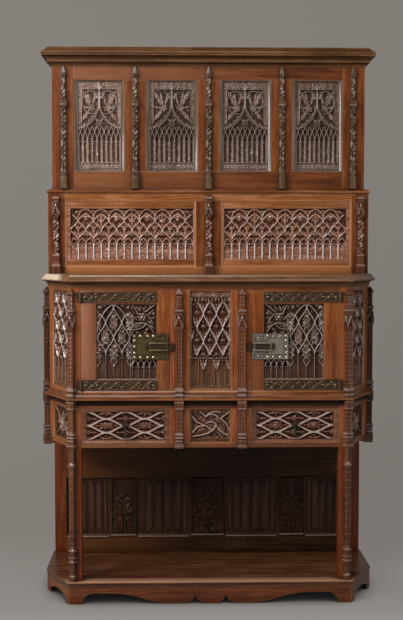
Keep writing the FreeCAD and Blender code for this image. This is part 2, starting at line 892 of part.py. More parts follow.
def gradin():
    """Stiles, rails and panels of the lower gallery tier."""
    half = side_half_width
    edge = half - gradin_end_stile
    z_low = z_worktop + gradin_bottom_rail
    z_high = z_cap - gradin_top_rail
    thick = gallery_frame_thickness
    rails = [rail((-edge, edge), (z_worktop, z_low), thick),
             rail((-edge, edge), (z_high, z_cap), thick)]
    middle = muntin((-gradin_centre_half, gradin_centre_half), (z_low, z_high), thick)
    stile = slab((edge, half), (z_worktop, z_cap), (0, thick))
    board = gradin_panel((gradin_centre_half, edge), (z_low, z_high))
    return fitted_frame(both_sides([stile]), [middle], rails, both_sides([board]), y_gradin)


def upper_tier():
    """Stiles, rails and panels of the upper gallery tier."""
    half = upper_half_width
    edge = half - upper_end_stile
    z_low = z_upper + upper_bottom_rail
    z_high = z_cornice - upper_top_rail
    thick = gallery_frame_thickness
    rails = [rail((-edge, edge), (z_upper, z_low), thick),
             rail((-edge, edge), (z_high, z_top - cornice_board_thickness), thick)]
    reach = upper_muntin_width / 2
    near = upper_muntin_centre - reach
    far = upper_muntin_centre + reach
    middle = muntin((-reach, reach), (z_low, z_high), thick)
    outer = muntin((near, far), (z_low, z_high), thick)
    stile = slab((edge, half), (z_upper, z_top - cornice_board_thickness), (0, thick))
    boards = [upper_panel((reach, near), (z_low, z_high)), upper_panel((far, edge), (z_low, z_high))]
    muntins = [middle] + both_sides([outer])
    return fitted_frame(both_sides([stile]), muntins, rails, both_sides(boards), y_upper)


def fitted_frame(stiles, muntins, rails, panels, face_y):
    """Cuts mortises and grooves, and moves a frame to its face."""
    stiles = [cut_by(stile, rails + panels) for stile in stiles]
    muntins = [cut_by(piece, panels) for piece in muntins]
    rails = [cut_by(piece, muntins + panels) for piece in rails]
    groups = (stiles + muntins, rails, panels)
    return [[placed(piece, (0, face_y, 0), 0) for piece in group] for group in groups]


def gallery_ends():
    """The side boards behind the gallery's two frames."""
    thick = gallery_board_thickness
    ends = []
    tiers = ((side_half_width, y_gradin, z_worktop, z_cap),
             (upper_half_width, y_upper, z_upper, z_top - cornice_board_thickness))
    for half, face_y, z_low, z_high in tiers:
        low = (half - thick, face_y + gallery_frame_thickness, z_low)
        ends.append(block(low, (half, y_back, z_high)))
    return both_sides(ends)


def gallery_backs():
    """Upright boards that close the back of the gallery's two tiers."""
    thick = back_board_thickness
    boards = []
    tiers = ((side_half_width, z_worktop, z_cap),
             (upper_half_width, z_upper, z_top - cornice_board_thickness))
    for half, z_low, z_high in tiers:
        reach = half - gallery_board_thickness
        width = 2 * reach / back_board_count
        for number in range(back_board_count):
            x = -reach + number * width
            boards.append(block((x, y_back - thick, z_low), (x + width, y_back, z_high)))
    return boards


def gradin_cap():
    """The moulded board between the gallery's two tiers."""
    outline = square_outline(side_half_width, y_gradin)
    z_edge = z_cap + cap_edge
    lower = prism(outline(cap_out), z_cap, z_edge)
    return joined([lower, sloped(outline, (cap_out, z_edge), (-cap_nose, z_upper))])


def cornice():
    """The bed moulding and the crown moulding, mitred at the front corners."""
    outline = square_outline(upper_half_width, y_upper)
    z_bed = z_cornice + cornice_bed_height
    bed = [(0, z_cornice)]
    bed += cove((cove_start, z_cornice), (cornice_bed_out, z_cornice + cornice_cove_height), cove_facets)
    bed += [(cornice_bed_out, z_bed), (0, z_bed)]
    z_drip_low = z_bed + cornice_cove_height
    z_drip_high = z_drip_low + cornice_fascia
    crown = [(0, z_bed)]
    crown += cove((cornice_bed_out, z_bed), (cornice_out - drip_fillet, z_drip_low), cove_facets)
    crown += [(cornice_out, z_drip_low), (cornice_out, z_drip_high)]
    crown += [(cornice_nose, z_top), (0, z_top)]
    return moulding(bed, outline) + moulding(crown, outline)


def cornice_board():
    """The board that closes the top inside the cornice."""
    low = (-upper_half_width, y_upper, z_top - cornice_board_thickness)
    return block(low, (upper_half_width, y_back, z_top))


def pinnacle_row(centres, face_y, z_span, width):
    """Pinnacles in front of one gallery tier, cut flat against its frame."""
    reach = side_half_width
    body = block((-reach, face_y, z_span[0]), (reach, y_back, z_span[1]))
    forward = face_y - (buttress_stand - buttress_width / 2)
    shape = pinnacle(z_span[0], z_span[1], width, width * buttress_shaft / buttress_width)
    return [seated(shape, (x, forward), 0, body) for x in centres]


# Doors, drawn for the right hand

def door_frame():
    """Two stiles, two rails and the panel of a door."""
    left = bay_edge_inner + door_lock_gap
    right = bay_edge_outer - door_gap
    z_low = z_door + door_gap
    z_high = z_head - door_gap
    inner = (left + lock_stile, right - hinge_stile)
    up = (z_low + door_bottom_rail, z_high - door_top_rail)
    rails = [rail(inner, (z_low, up[0]), door_thickness), rail(inner, (up[1], z_high), door_thickness)]
    stiles = [slab((left, inner[0]), (z_low, z_high), (0, door_thickness)),
              slab((inner[1], right), (z_low, z_high), (0, door_thickness))]
    edge = slab((inner[0] - panel_tongue, inner[1] + panel_tongue),
                (up[0] - panel_tongue, up[1] + panel_tongue),
                (field_relief, field_relief + panel_thickness))
    field = slab((inner[0] + field_margin, inner[1] - field_margin),
                 (up[0] + field_margin, up[1] - field_margin), (0, field_relief))
    board = joined([edge, field])
    stiles = [cut_by(piece, rails + [board]) for piece in stiles]
    rails = [cut_by(piece, [board]) for piece in rails]
    frame = [placed(piece, (0, y_face, 0), 0) for piece in stiles + rails]
    return frame, placed(board, (0, y_face, 0), 0)


hinge_x = bay_edge_outer
hinge_y = y_face - door_swing_clearance
strap_levels = (z_door + bottom_strap_rise, z_head - top_strap_drop)


def strap(z_middle):
    """A pierced strap with the eye that turns on the hinge pin."""
    right = hinge_x - strap_inset
    left = bay_edge_inner + door_lock_gap + strap_end_gap
    half = strap_height / 2
    back = y_face - iron_sheet
    plate = block((left, back, z_middle - half), (right, y_face, z_middle + half))
    pitch = (right - left) / strap_slot_count
    cutters = []
    for number in range(strap_slot_count):
        x = left + (number + 0.5) * pitch
        for side in (-1, 1):
            z = z_middle + side * strap_slot_height
            low = (x - strap_slot_length / 2, back - overrun, z - strap_slot_height / 2)
            high = (x + strap_slot_length / 2, y_face + overrun, z + strap_slot_height / 2)
            cutters.append(block(low, high))
    plate = cut_by(plate, cutters)
    foot = z_middle - eye_height / 2
    tongue = block((right, back, foot), (hinge_x, y_face - door_swing_clearance + knuckle_radius,
                                         foot + eye_height))
    barrel = rod((hinge_x, hinge_y, foot), (0, 0, 1), knuckle_radius, eye_height)
    bore = rod((hinge_x, hinge_y, foot - overrun), (0, 0, 1), pin_radius + pin_clearance,
               eye_height + 2 * overrun)
    return joined([plate, tongue, barrel]).cut(bore)


def pintle(z_middle):
    """The fixed leaf of a hinge on the front post, with its two knuckles and the pin."""
    half = strap_height / 2
    inner = eye_height / 2 + knuckle_gap
    leaf = block((hinge_x + knuckle_gap, y_face - leaf_sheet, z_middle - half),
                 (hinge_x + leaf_width, y_face, z_middle + half))
    space = rod((hinge_x, hinge_y, z_middle - inner), (0, 0, 1), knuckle_radius + knuckle_gap, 2 * inner)
    pin = rod((hinge_x, hinge_y, z_middle - half), (0, 0, 1), pin_radius, strap_height)
    knuckles = [rod((hinge_x, hinge_y, z), (0, 0, 1), knuckle_radius, half - inner)
                for z in (z_middle - half, z_middle + inner)]
    return joined([leaf.cut(space), pin] + knuckles)


lock_left = bay_edge_inner + door_lock_gap + lock_plate_edge
lock_z = z_door + lock_centre_rise
bolt_left = bay_edge_inner + door_lock_gap + bolt_end_gap - bolt_throw
guide_left = lock_left + guide_offset
bolt_right = guide_left + guide_length + bolt_knob_gap + 2 * bolt_knob_radius


def lock_plate():
    """The lock plate with the guides and staples that hold its bolt."""
    front = y_face - iron_sheet
    depth = bolt_thickness + bolt_clearance
    half = lock_plate_height / 2
    plate = block((lock_left, front, lock_z - half),
                  (lock_left + lock_plate_width, y_face, lock_z + half))
    reach = bolt_height / 2 + bolt_clearance
    pieces = [plate]
    for side in (-1, 1):
        low_z, high_z = sorted((lock_z + side * reach, lock_z + side * (reach + guide_lip)))
        pieces.append(block((guide_left, front - depth, low_z),
                            (guide_left + guide_length, front, high_z)))
    outer = reach + guide_lip
    for x in (guide_left, guide_left + guide_length - staple_width):
        pieces.append(block((x, front - depth - staple_sheet, lock_z - outer),
                            (x + staple_width, front - depth, lock_z + outer)))
    return joined(pieces)


def lock_studs():
    """Nails round the free part of the lock plate."""
    left = lock_left + lock_stile + stud_inset
    right = lock_left + lock_plate_width - stud_inset
    low = lock_z - lock_plate_height / 2 + stud_inset
    high = lock_z + lock_plate_height / 2 - stud_inset
    spots = []
    for step in range(studs_per_side):
        share = step / (studs_per_side - 1)
        x = left + (right - left) * share
        spots += [(x, low), (x, high)]
    spots += [(right, low + (high - low) * step / (studs_per_side - 1))
              for step in range(1, studs_per_side - 1)]
    front = y_face - iron_sheet
    return [Part.makeCone(stud_radius, stud_radius / 2, stud_height, Vector(x, front, z),
                          Vector(0, -1, 0)) for x, z in spots]


def bolt():
    """The sliding bolt, with a knob at its inner end."""
    back = y_face - iron_sheet - bolt_clearance / 2
    front = back - bolt_thickness + bolt_clearance / 2
    half = bolt_height / 2
    bar = block((bolt_left, front, lock_z - half), (bolt_right, back, lock_z + half))
    knob_x = bolt_right - bolt_knob_radius
    knob = rod((knob_x, front, lock_z), (0, -1, 0), bolt_knob_radius, bolt_knob_height)
    return joined([bar, knob])


# Drawers, drawn for the right hand

drawer_x = (bay_edge_inner + drawer_gap, bay_edge_outer - drawer_gap)
drawer_z = (z_drawer + drawer_gap, z_waist - drawer_gap)
drawer_side_z = (z_drawer + drawer_gap, z_waist - drawer_top_play)
drawer_rear = y_rear_post - drawer_rear_play
drawer_field_y = y_face + drawer_field_depth
drawer_middle = (bay_edge_inner + bay_edge_outer) / 2
pull_z = (drawer_z[0] + drawer_z[1]) / 2 + boss_rise
pull_axis_y = y_face - pull_axis_stand


def drawer():
    """The front, and the box of sides, back and bottom, of a drawer."""
    front = block((drawer_x[0], y_face, drawer_z[0]),
                  (drawer_x[1], y_face + drawer_front_thickness, drawer_z[1]))
    margin = drawer_field_margin
    sunk = block((drawer_x[0] + margin, y_face - overrun, drawer_z[0] + margin),
                 (drawer_x[1] - margin, drawer_field_y, drawer_z[1] - margin))
    y_lap = y_face + drawer_lap
    thick = drawer_side_thickness
    sides = []
    for x in (drawer_x[0], drawer_x[1] - thick):
        sides.append(block((x, y_lap, drawer_side_z[0]), (x + thick, drawer_rear, drawer_side_z[1])))
    inner = (drawer_x[0] + thick, drawer_x[1] - thick)
    z_bottom = drawer_side_z[0] + drawer_bottom_rise
    z_inside = z_bottom + drawer_bottom_thickness
    tongue = drawer_bottom_tongue
    bottom = block((inner[0] - tongue, y_face + drawer_front_thickness - tongue, z_bottom),
                   (inner[1] + tongue, drawer_rear, z_inside))
    back = block((inner[0], drawer_rear - thick, z_inside),
                 (inner[1], drawer_rear, drawer_side_z[1] - drawer_back_drop))
    front = cut_by(front, [sunk, bottom] + sides)
    sides = [cut_by(side, [bottom]) for side in sides]
    return front, sides + [back, bottom]


def runners():
    """The runners with their guides under each drawer, and the kickers above it."""
    y_start = y_face + frame_thickness
    z_ledge = z_drawer + drawer_gap - runner_gap
    z_low = z_tier + soffit_thickness
    pieces = []
    for edge, side in ((bay_edge_inner, 1), (bay_edge_outer, -1)):
        ledge_x = sorted((edge, edge + side * runner_width))
        guide_x = sorted((edge - side * guide_width, edge))
        ledge = block((ledge_x[0], y_start, z_low), (ledge_x[1], y_rear_post, z_ledge))
        guide = block((guide_x[0], y_start, z_low), (guide_x[1], y_rear_post, z_low + guide_height))
        kicker = block((ledge_x[0], y_start, z_waist),
                       (ledge_x[1], y_back_boards, z_waist + kicker_height))
        pieces += [joined([ledge, guide]), kicker]
    return both_sides([piece.cut(front_post()) for piece in pieces])


def pull_boss():
    """The boss of a drawer pull, with two ears and the pin between them."""
    base = rod((drawer_middle, drawer_field_y, pull_z), (0, -1, 0), boss_radius,
               drawer_field_depth + boss_stand)
    inner = eye_length / 2 + ear_gap
    pieces = [base]
    for side in (-1, 1):
        x = sorted((drawer_middle + side * inner, drawer_middle + side * (inner + ear_thickness)))
        pieces.append(block((x[0], pull_axis_y - pull_eye_radius, pull_z - pull_eye_radius),
                            (x[1], y_face - boss_stand, pull_z + pull_eye_radius)))
    pieces.append(rod((drawer_middle - inner - ear_thickness, pull_axis_y, pull_z), (1, 0, 0),
                      pull_pin_radius, 2 * (inner + ear_thickness)))
    return joined(pieces)


def pull_drop():
    """The hanging drop of a drawer pull, with the eye that turns on the pin."""
    eye = rod((drawer_middle - eye_length / 2, pull_axis_y, pull_z), (1, 0, 0),
              pull_eye_radius, eye_length)
    stem = rod((drawer_middle, pull_axis_y, pull_z), (0, 0, -1), pull_stem_radius, pull_length)
    tip = Part.makeSphere(pull_drop_radius, Vector(drawer_middle, pull_axis_y, pull_z - pull_length))
    bore = rod((drawer_middle - eye_length, pull_axis_y, pull_z), (1, 0, 0),
               pull_pin_radius + pin_clearance, 2 * eye_length)
    return joined([eye, stem, tip]).cut(bore)


def carcass():
    """The framing of the carcass, with every mortise, groove and housing cut."""
    soffit = shelf(z_tier, z_tier + soffit_thickness, y_rear_post)
    floor = shelf(z_floor, z_floor + board_thickness, y_back_boards)
    rails = front_rails()
    stiles = centre_stiles()
    cabinet_panel = middle_panel((z_door, z_head))
    frieze_panel = middle_panel((z_drawer, z_waist))
    return_rails, cant_panels, side_panels = return_frames()
    back_rails, back_muntins, linen_panels = stage_back()
    boards = back_boards()
    fronts = [cabinet_panel, frieze_panel]
    returns = return_rails + cant_panels + side_panels
    shelves = [soffit, floor]
    return {
        "front_posts": [cut_by(post, rails + returns + shelves) for post in both_sides([front_post()])],
        "corner_posts": [cut_by(post, returns + shelves) for post in both_sides([corner_post()])],
        "rear_posts": [cut_by(post, returns + shelves + back_rails + boards + linen_panels)
                       for post in both_sides([rear_post()])],
        "front_rails": [cut_by(piece, stiles + fronts + shelves) for piece in rails],
        "centre_stiles": [cut_by(piece, fronts) for piece in stiles],
        "cabinet_centre_panel": [cabinet_panel],
        "frieze_centre_panel": [frieze_panel],
        "return_rails": [cut_by(piece, cant_panels + side_panels + shelves) for piece in return_rails],
        "cant_panels": cant_panels,
        "side_panels": side_panels,
        "stage_back_rails": [cut_by(piece, back_muntins + linen_panels + boards)
                             for piece in back_rails],
        "stage_back_muntins": [cut_by(piece, linen_panels) for piece in back_muntins],
        "linenfold_panels": linen_panels,
        "tier_soffit": [soffit],
        "cabinet_floor": [floor],
        "carcass_back_boards": boards,
        "drawer_runners": runners(),
    }


def gallery():
    """The two gallery tiers and the cornice."""
    gradin_uprights, gradin_rails, gradin_panels = gradin()
    upper_uprights, upper_rails, upper_panels = upper_tier()
    gradin_centres = (-gradin_pinnacle_centre, 0, gradin_pinnacle_centre)
    upper_centres = (-upper_pinnacle_centre, -upper_muntin_centre, 0,
                     upper_muntin_centre, upper_pinnacle_centre)
    return {
        "gradin_stiles": gradin_uprights,
        "gradin_rails": gradin_rails,
        "gradin_panels": gradin_panels,
        "gradin_pinnacles": pinnacle_row(gradin_centres, y_gradin,
                                         (z_worktop, z_cap - pinnacle_gap), gradin_pinnacle_width),
        "gradin_cap": [gradin_cap()],
        "upper_stiles": upper_uprights,
        "upper_rails": upper_rails,
        "upper_panels": upper_panels,
        "upper_pinnacles": pinnacle_row(upper_centres, y_upper, (z_upper, z_cornice),
                                        upper_pinnacle_width),
        "gallery_ends": gallery_ends(),
        "gallery_back_boards": gallery_backs(),
        "cornice": cornice(),
        "cornice_board": [cornice_board()],
    }


def trim():
    """The plinth, the mouldings and the buttresses."""
    front_apron, plinth_returns = plinth()
    return {
        "plinth_front_apron": [front_apron],
        "plinth_returns": plinth_returns,
        "platform_board": [platform()],
        "string_mould": string_mould(),
        "worktop_bed_mould": bed_mould(),
        "worktop": [worktop()],
        "inner_buttresses": inner_buttresses(),
        "corner_buttresses": corner_piece(buttress(z_tier), front_corner, front_corner_turn,
                                          front_corner_stand),
        "rear_buttresses": corner_piece(buttress(z_tier - buttress_drop), side_corner,
                                        side_corner_turn, buttress_stand),
        "colonnettes": colonnettes(),
        "hinge_pintles": both_sides([pintle(z) for z in strap_levels]),
    }


def moving_parts():
    """The doors, bolts, drawers and pulls, for both hands."""
    frame, board = door_frame()
    front, box = drawer()
    right = {
        "door_frame": frame,
        "door_panel": [board],
        "door_straps": [strap(z) for z in strap_levels],
        "lock_plate": [lock_plate()] + lock_studs(),
        "lock_bolt": [bolt()],
        "drawer_front": [front],
        "drawer_box": box,
        "pull_boss": [pull_boss()],
        "pull_drop": [pull_drop()],
    }
    pieces = {}
    for name, shapes in right.items():
        pieces[name + "_right"] = shapes
        pieces[name + "_left"] = [mirrored(shape) for shape in shapes]
    return pieces


def main():
    """Builds every piece and writes one file for each named node."""
    os.makedirs("parts", exist_ok=True)
    nodes = {**trim(), **carcass(), **gallery(), **moving_parts()}
    for name, shapes in nodes.items():
        shape = shapes[0] if len(shapes) == 1 else Part.makeCompound(shapes)
        shape.exportStep("parts/" + name + ".step")
        print(name, len(shapes), "pieces", round(shape.Volume), "mm3", shape.isValid())


main()
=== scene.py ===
"""Carved oak dressoir: a panelled gallery under a cornice, a canted cabinet with iron-bound doors,
a frieze of two drawers and an open stage on a plinth. All sizes are in millimetres until a mesh
is made; the front faces -Y and +Z is up."""

import logging
import math
from collections.abc import Callable
from dataclasses import dataclass, field
from enum import Enum

import bpy
import numpy as np
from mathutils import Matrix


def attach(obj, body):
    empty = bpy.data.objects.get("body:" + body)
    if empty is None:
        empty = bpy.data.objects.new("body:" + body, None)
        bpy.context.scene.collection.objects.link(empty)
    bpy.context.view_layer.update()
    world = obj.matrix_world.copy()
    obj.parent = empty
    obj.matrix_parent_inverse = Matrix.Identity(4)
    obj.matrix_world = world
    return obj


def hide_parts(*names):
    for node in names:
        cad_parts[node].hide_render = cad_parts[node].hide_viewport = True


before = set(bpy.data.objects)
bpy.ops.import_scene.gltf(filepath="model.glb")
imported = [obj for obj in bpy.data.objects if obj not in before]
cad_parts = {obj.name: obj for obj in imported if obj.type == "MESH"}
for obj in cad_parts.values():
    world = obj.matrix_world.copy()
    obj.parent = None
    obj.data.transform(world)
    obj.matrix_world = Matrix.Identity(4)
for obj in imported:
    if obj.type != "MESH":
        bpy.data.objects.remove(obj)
LOG = logging.getLogger("dressoir")
MM = 0.001
SIDES = (-1, 1)
Point = tuple[float, float]
Place = tuple[float, float, float]
Colour = tuple[float, float, float, float]
Piece = bpy.types.Object
Material = bpy.types.Material
Tree = bpy.types.NodeTree
Socket = bpy.types.NodeSocket
CLEAR: Colour = (1.0, 1.0, 1.0, 1.0)
NONE: Colour = (0.0, 0.0, 0.0, 1.0)
CORNER_SHADE_COLOUR: Colour = (0.07, 0.045, 0.03, 1.0)
OPEN_PORE: Colour = (0.45, 0.4, 0.36, 1.0)
PUNCHED: Colour = (0.3, 0.27, 0.24, 1.0)
OAK_IOR = 1.5
EDGE_REACH = 7.0
PALE_SHARE = 0.62
MOULD_ANGLE = 40.0
SHAFT_ANGLE = 50.0


# Finishes

class Grain(Enum):
    """Which way the grain of a piece runs: its fibres are drawn out twenty times along it."""

    ACROSS = (0.05, 1.0, 1.0)
    LEVEL = (0.05, 0.05, 1.0)
    UPRIGHT = (1.0, 1.0, 0.05)


def linear(colour: str) -> Colour:
    """Turns an sRGB hex colour to a linear one.

    Args:
        colour: six hex digits after a hash sign.

    Returns:
        Red, green, blue and an alpha of one.
    """
    parts = [int(colour[place:place + 2], 16) / 255 for place in (1, 3, 5)]
    curve = [part / 12.92 if part <= 0.04045 else ((part + 0.055) / 1.055) ** 2.4 for part in parts]
    return (curve[0], curve[1], curve[2], 1.0)


def add_node(tree: Tree, kind: str, settings: dict | None = None,
             **links: bpy.types.Node | Socket) -> bpy.types.Node:
    """Adds a node, sets it up and joins its inputs.

    Args:
        tree: the material's tree.
        kind: the type of node, without its first word.
        settings: node properties, values of inputs under "in:NAME", and the (place, colour)
            stops of a ramp under "stops".
        **links: input names, with spaces as underscores, or input numbers after an underscore,
            and the outputs that feed them, or nodes whose first outputs do.

    Returns:
        The node.
    """
    node = tree.nodes.new("ShaderNode" + kind)
    for name, value in (settings or {}).items():
        if name.startswith("in:"):
            key = name[3:]
            node.inputs[int(key) if key.isdigit() else key].default_value = value
        elif name == "stops":
            elements = node.color_ramp.elements
            while len(elements) < len(value):
                elements.new(0.5)
            for element, (place, colour) in zip(elements, value):
                element.position = place
                element.color = colour
        else:
            setattr(node, name, value)
    for name, source in links.items():
        key = name[1:] if name[1:].isdigit() else name.replace("_", " ")
        output = source if isinstance(source, Socket) else source.outputs[0]
        tree.links.new(output, node.inputs[int(key) if key.isdigit() else key])
    return node


def new_material(name: str) -> tuple[Material, Tree, bpy.types.Node]:
    """Starts a material, and returns it with its tree and its shader."""
    made = bpy.data.materials.new(name)
    made.use_nodes = True
    return made, made.node_tree, made.node_tree.nodes["Principled BSDF"]


@dataclass(frozen=True)
class WaxedOak:
    """Sawn and planed European oak under old wax: long fibres, open pores, a soft sheen.

    Its fibres are drawn 3.2 mm apart along the grain and its pores 1.5 mm, about three times as
    coarse as the real ones, which are too fine to show in the render.
    """

    name: str
    dark: str
    middle: str
    light: str
    grain: Grain = Grain.ACROSS
    fibre: float = 3.2
    pore: float = 1.5
    cloud: float = 160.0
    gloss: float = 0.3
    glint: float = 0.3
    # Painted shade in corners: how strong it is and how far it reaches. Then the pale edges: partly
    # wear, partly painted highlight.
    corner_shade: float = 0.8
    reach: float = 42.0
    edge_wear_and_light: float = 0.7

    def material(self) -> Material:
        """Builds the material, or returns it if it is there already."""
        if self.name in bpy.data.materials:
            return bpy.data.materials[self.name]
        made, tree, shader = new_material(self.name)
        place = add_node(tree, "TexCoord").outputs["Object"]
        along = add_node(tree, "Mapping", {"in:Scale": self.grain.value}, Vector=place)
        wood = self._wood(tree, along.outputs["Vector"], place)
        # Adds the painted corner shade and the pale edges.
        colour = self._worn(tree, wood["colour"])
        tree.links.new(colour, shader.inputs["Base Color"])
        rough = add_node(tree, "MapRange", {
            "in:To Min": self.gloss - 0.05, "in:To Max": self.gloss + 0.1}, Value=wood["fibre"])
        tree.links.new(rough.outputs["Result"], shader.inputs["Roughness"])
        bump = add_node(tree, "Bump", {"in:Strength": 0.35, "in:Distance": 0.4 * MM},
                        Height=wood["height"])
        tree.links.new(bump.outputs["Normal"], shader.inputs["Normal"])
        for key, value in (("IOR", OAK_IOR), ("Specular IOR Level", self.glint),
                           ("Coat Weight", 0.4 * self.glint), ("Coat Roughness", 0.16)):
            shader.inputs[key].default_value = value
        return made

    def _wood(self, tree: Tree, along: Socket, place: Socket) -> dict[str, Socket]:
        """Grain, pores and clouds of tone.

        Args:
            tree: the material's tree.
            along: coordinates squeezed along the grain.
            place: plain coordinates.

        Returns:
            The sockets of the colour, the fibre and the height.
        """
        fibre, bands, cloud, pores = (
            add_node(tree, "TexNoise", {"in:Scale": 1 / (size * MM), "in:Detail": detail,
                                        "in:Roughness": roughness}, Vector=where)
            for size, detail, roughness, where in (
                (self.fibre, 5.0, 0.65, along), (self.fibre * 5, 5.0, 0.6, along),
                (self.cloud, 2.0, 0.5, place), (self.pore, 2.0, 0.5, along)))
        mixed = add_node(tree, "Math", {"operation": "MULTIPLY_ADD", "in:1": 0.85},
                         _0=fibre, _2=bands)
        tone = add_node(tree, "Math", {"operation": "MULTIPLY_ADD", "in:1": 0.3},
                        _0=cloud, _2=mixed)
        halved = add_node(tree, "Math", {"operation": "MULTIPLY", "in:1": 0.5}, _0=tone)
        colour = add_node(tree, "ValToRGB", {"stops": [
            (0.41, linear(self.dark)), (0.53, linear(self.middle)), (0.64, linear(self.light))]},
            Fac=halved)
        open_pores = add_node(tree, "ValToRGB", {"stops": [(0.3, OPEN_PORE), (0.42, CLEAR)]},
                              Fac=pores)
        dotted = add_node(tree, "Mix", {"data_type": "RGBA", "blend_type": "MULTIPLY", "in:0": 0.7},
                          _6=colour, _7=open_pores)
        height = add_node(tree, "Math", {"operation": "MULTIPLY"}, _0=fibre, _1=open_pores)
        return {"colour": dotted.outputs[2], "fibre": fibre.outputs["Fac"],
                "height": height.outputs["Value"]}

    def _worn(self, tree: Tree, colour: Socket) -> Socket:
        """Darkens corners and hollows with painted shade, and pales convex edges, partly as wear
        and partly as painted highlight.

        Args:
            tree: the material's tree.
            colour: the clean wood's colour.

        Returns:
            The socket of the colour with its painted shade and pale edges.
        """
        # Painted shade: ambient occlusion darkens corners and hollows.
        corner = add_node(tree, "AmbientOcclusion", {"samples": 6, "in:Distance": self.reach * MM})
        shade = add_node(tree, "ValToRGB", {"stops": [(0.25, CORNER_SHADE_COLOUR), (0.92, CLEAR)]},
                         Fac=corner.outputs["AO"])
        shaded_corners = add_node(tree, "Mix", {
            "data_type": "RGBA", "blend_type": "MULTIPLY", "in:0": self.corner_shade},
            _6=colour, _7=shade)
        # Pale convex edges: partly wear, partly painted highlight.
        edge = add_node(tree, "AmbientOcclusion", {
            "samples": 6, "inside": True, "only_local": True, "in:Distance": EDGE_REACH * MM})
        lightened = add_node(tree, "ValToRGB", {"stops": [
            (0.4, (self.edge_wear_and_light, self.edge_wear_and_light, self.edge_wear_and_light, 1.0)), (0.85, NONE)]}, Fac=edge.outputs["AO"])
        shaded_and_edged = add_node(tree, "Mix", {"data_type": "RGBA", "in:7": linear(self.light)},
                        _0=lightened, _6=shaded_corners.outputs[2])
        return shaded_and_edged.outputs[2]


@dataclass(frozen=True)
class CarvedOak(WaxedOak):
    """Carved oak: its dark ground colour is painted shade with some grey dust in the hollows, and
    its pale ridge colour is a painted highlight on the crests.
    """

    # The ground colour is painted shade with some dust, the ridge colour a painted highlight.
    ground: str = "#33241b"
    ridge: str = "#8d7264"
    glint: float = 0.5

    def _worn(self, tree: Tree, colour: Socket) -> Socket:
        """Colours the hollows with painted shade and the crests with painted highlights by the
        height of the relief, before the corner shade and edges are added.
        """
        relief = add_node(tree, "Attribute", {"attribute_name": "relief"}).outputs["Fac"]
        low = add_node(tree, "MapRange", {"in:From Min": 0.0, "in:From Max": 0.45}, Value=relief)
        high = add_node(tree, "MapRange", {
            "in:From Min": 0.68, "in:From Max": 1.0, "in:To Max": 0.85}, Value=relief)
        sheen = add_node(tree, "MapRange", {
            "in:From Min": 0.2, "in:From Max": 0.9, "in:To Min": 0.08,
            "in:To Max": 1.6 * self.glint}, Value=relief)
        tree.links.new(sheen.outputs["Result"],
                       tree.nodes["Principled BSDF"].inputs["Specular IOR Level"])
        # Painted shade in the hollows, then painted highlights on the crests.
        sunk = add_node(tree, "Mix", {"data_type": "RGBA", "in:6": linear(self.ground)},
                        _0=low, _7=colour)
        lit = add_node(tree, "Mix", {"data_type": "RGBA", "in:7": linear(self.ridge)},
                       _0=high, _6=sunk.outputs[2])
        return super()._worn(tree, lit.outputs[2])


@dataclass(frozen=True)
class GradedOak(WaxedOak):
    """Oak that fades to a paler tone towards a line: painted light on the side the lamps reach,
    except on the posts and gradin rails, where it only pales one end.

    The fade starts at line + spread and is full from the line on, so a spread under zero puts the
    pale side above the line. Places are in metres.
    """

    pale: str = "#9a6f50"
    axis: str = "Y"
    line: float = -0.212
    spread: float = 0.05
    above: float = 0.0

    def _worn(self, tree: Tree, colour: Socket) -> Socket:
        """Lightens the wood beyond the line, before the corner shade and edges are added."""
        parts = add_node(tree, "SeparateXYZ", Vector=add_node(tree, "TexCoord").outputs["Object"])
        share = add_node(tree, "MapRange", {
            "in:From Min": self.line + self.spread, "in:From Max": self.line,
            "in:To Max": PALE_SHARE}, Value=parts.outputs[self.axis])
        top = add_node(tree, "Math", {"operation": "GREATER_THAN", "in:1": self.above},
                       _0=parts.outputs["Z"])
        both = add_node(tree, "Math", {"operation": "MULTIPLY"}, _0=share, _1=top)
        lightened = add_node(tree, "Mix", {"data_type": "RGBA", "in:7": linear(self.pale)},
                          _0=both, _6=colour)
        return super()._worn(tree, lightened.outputs[2])


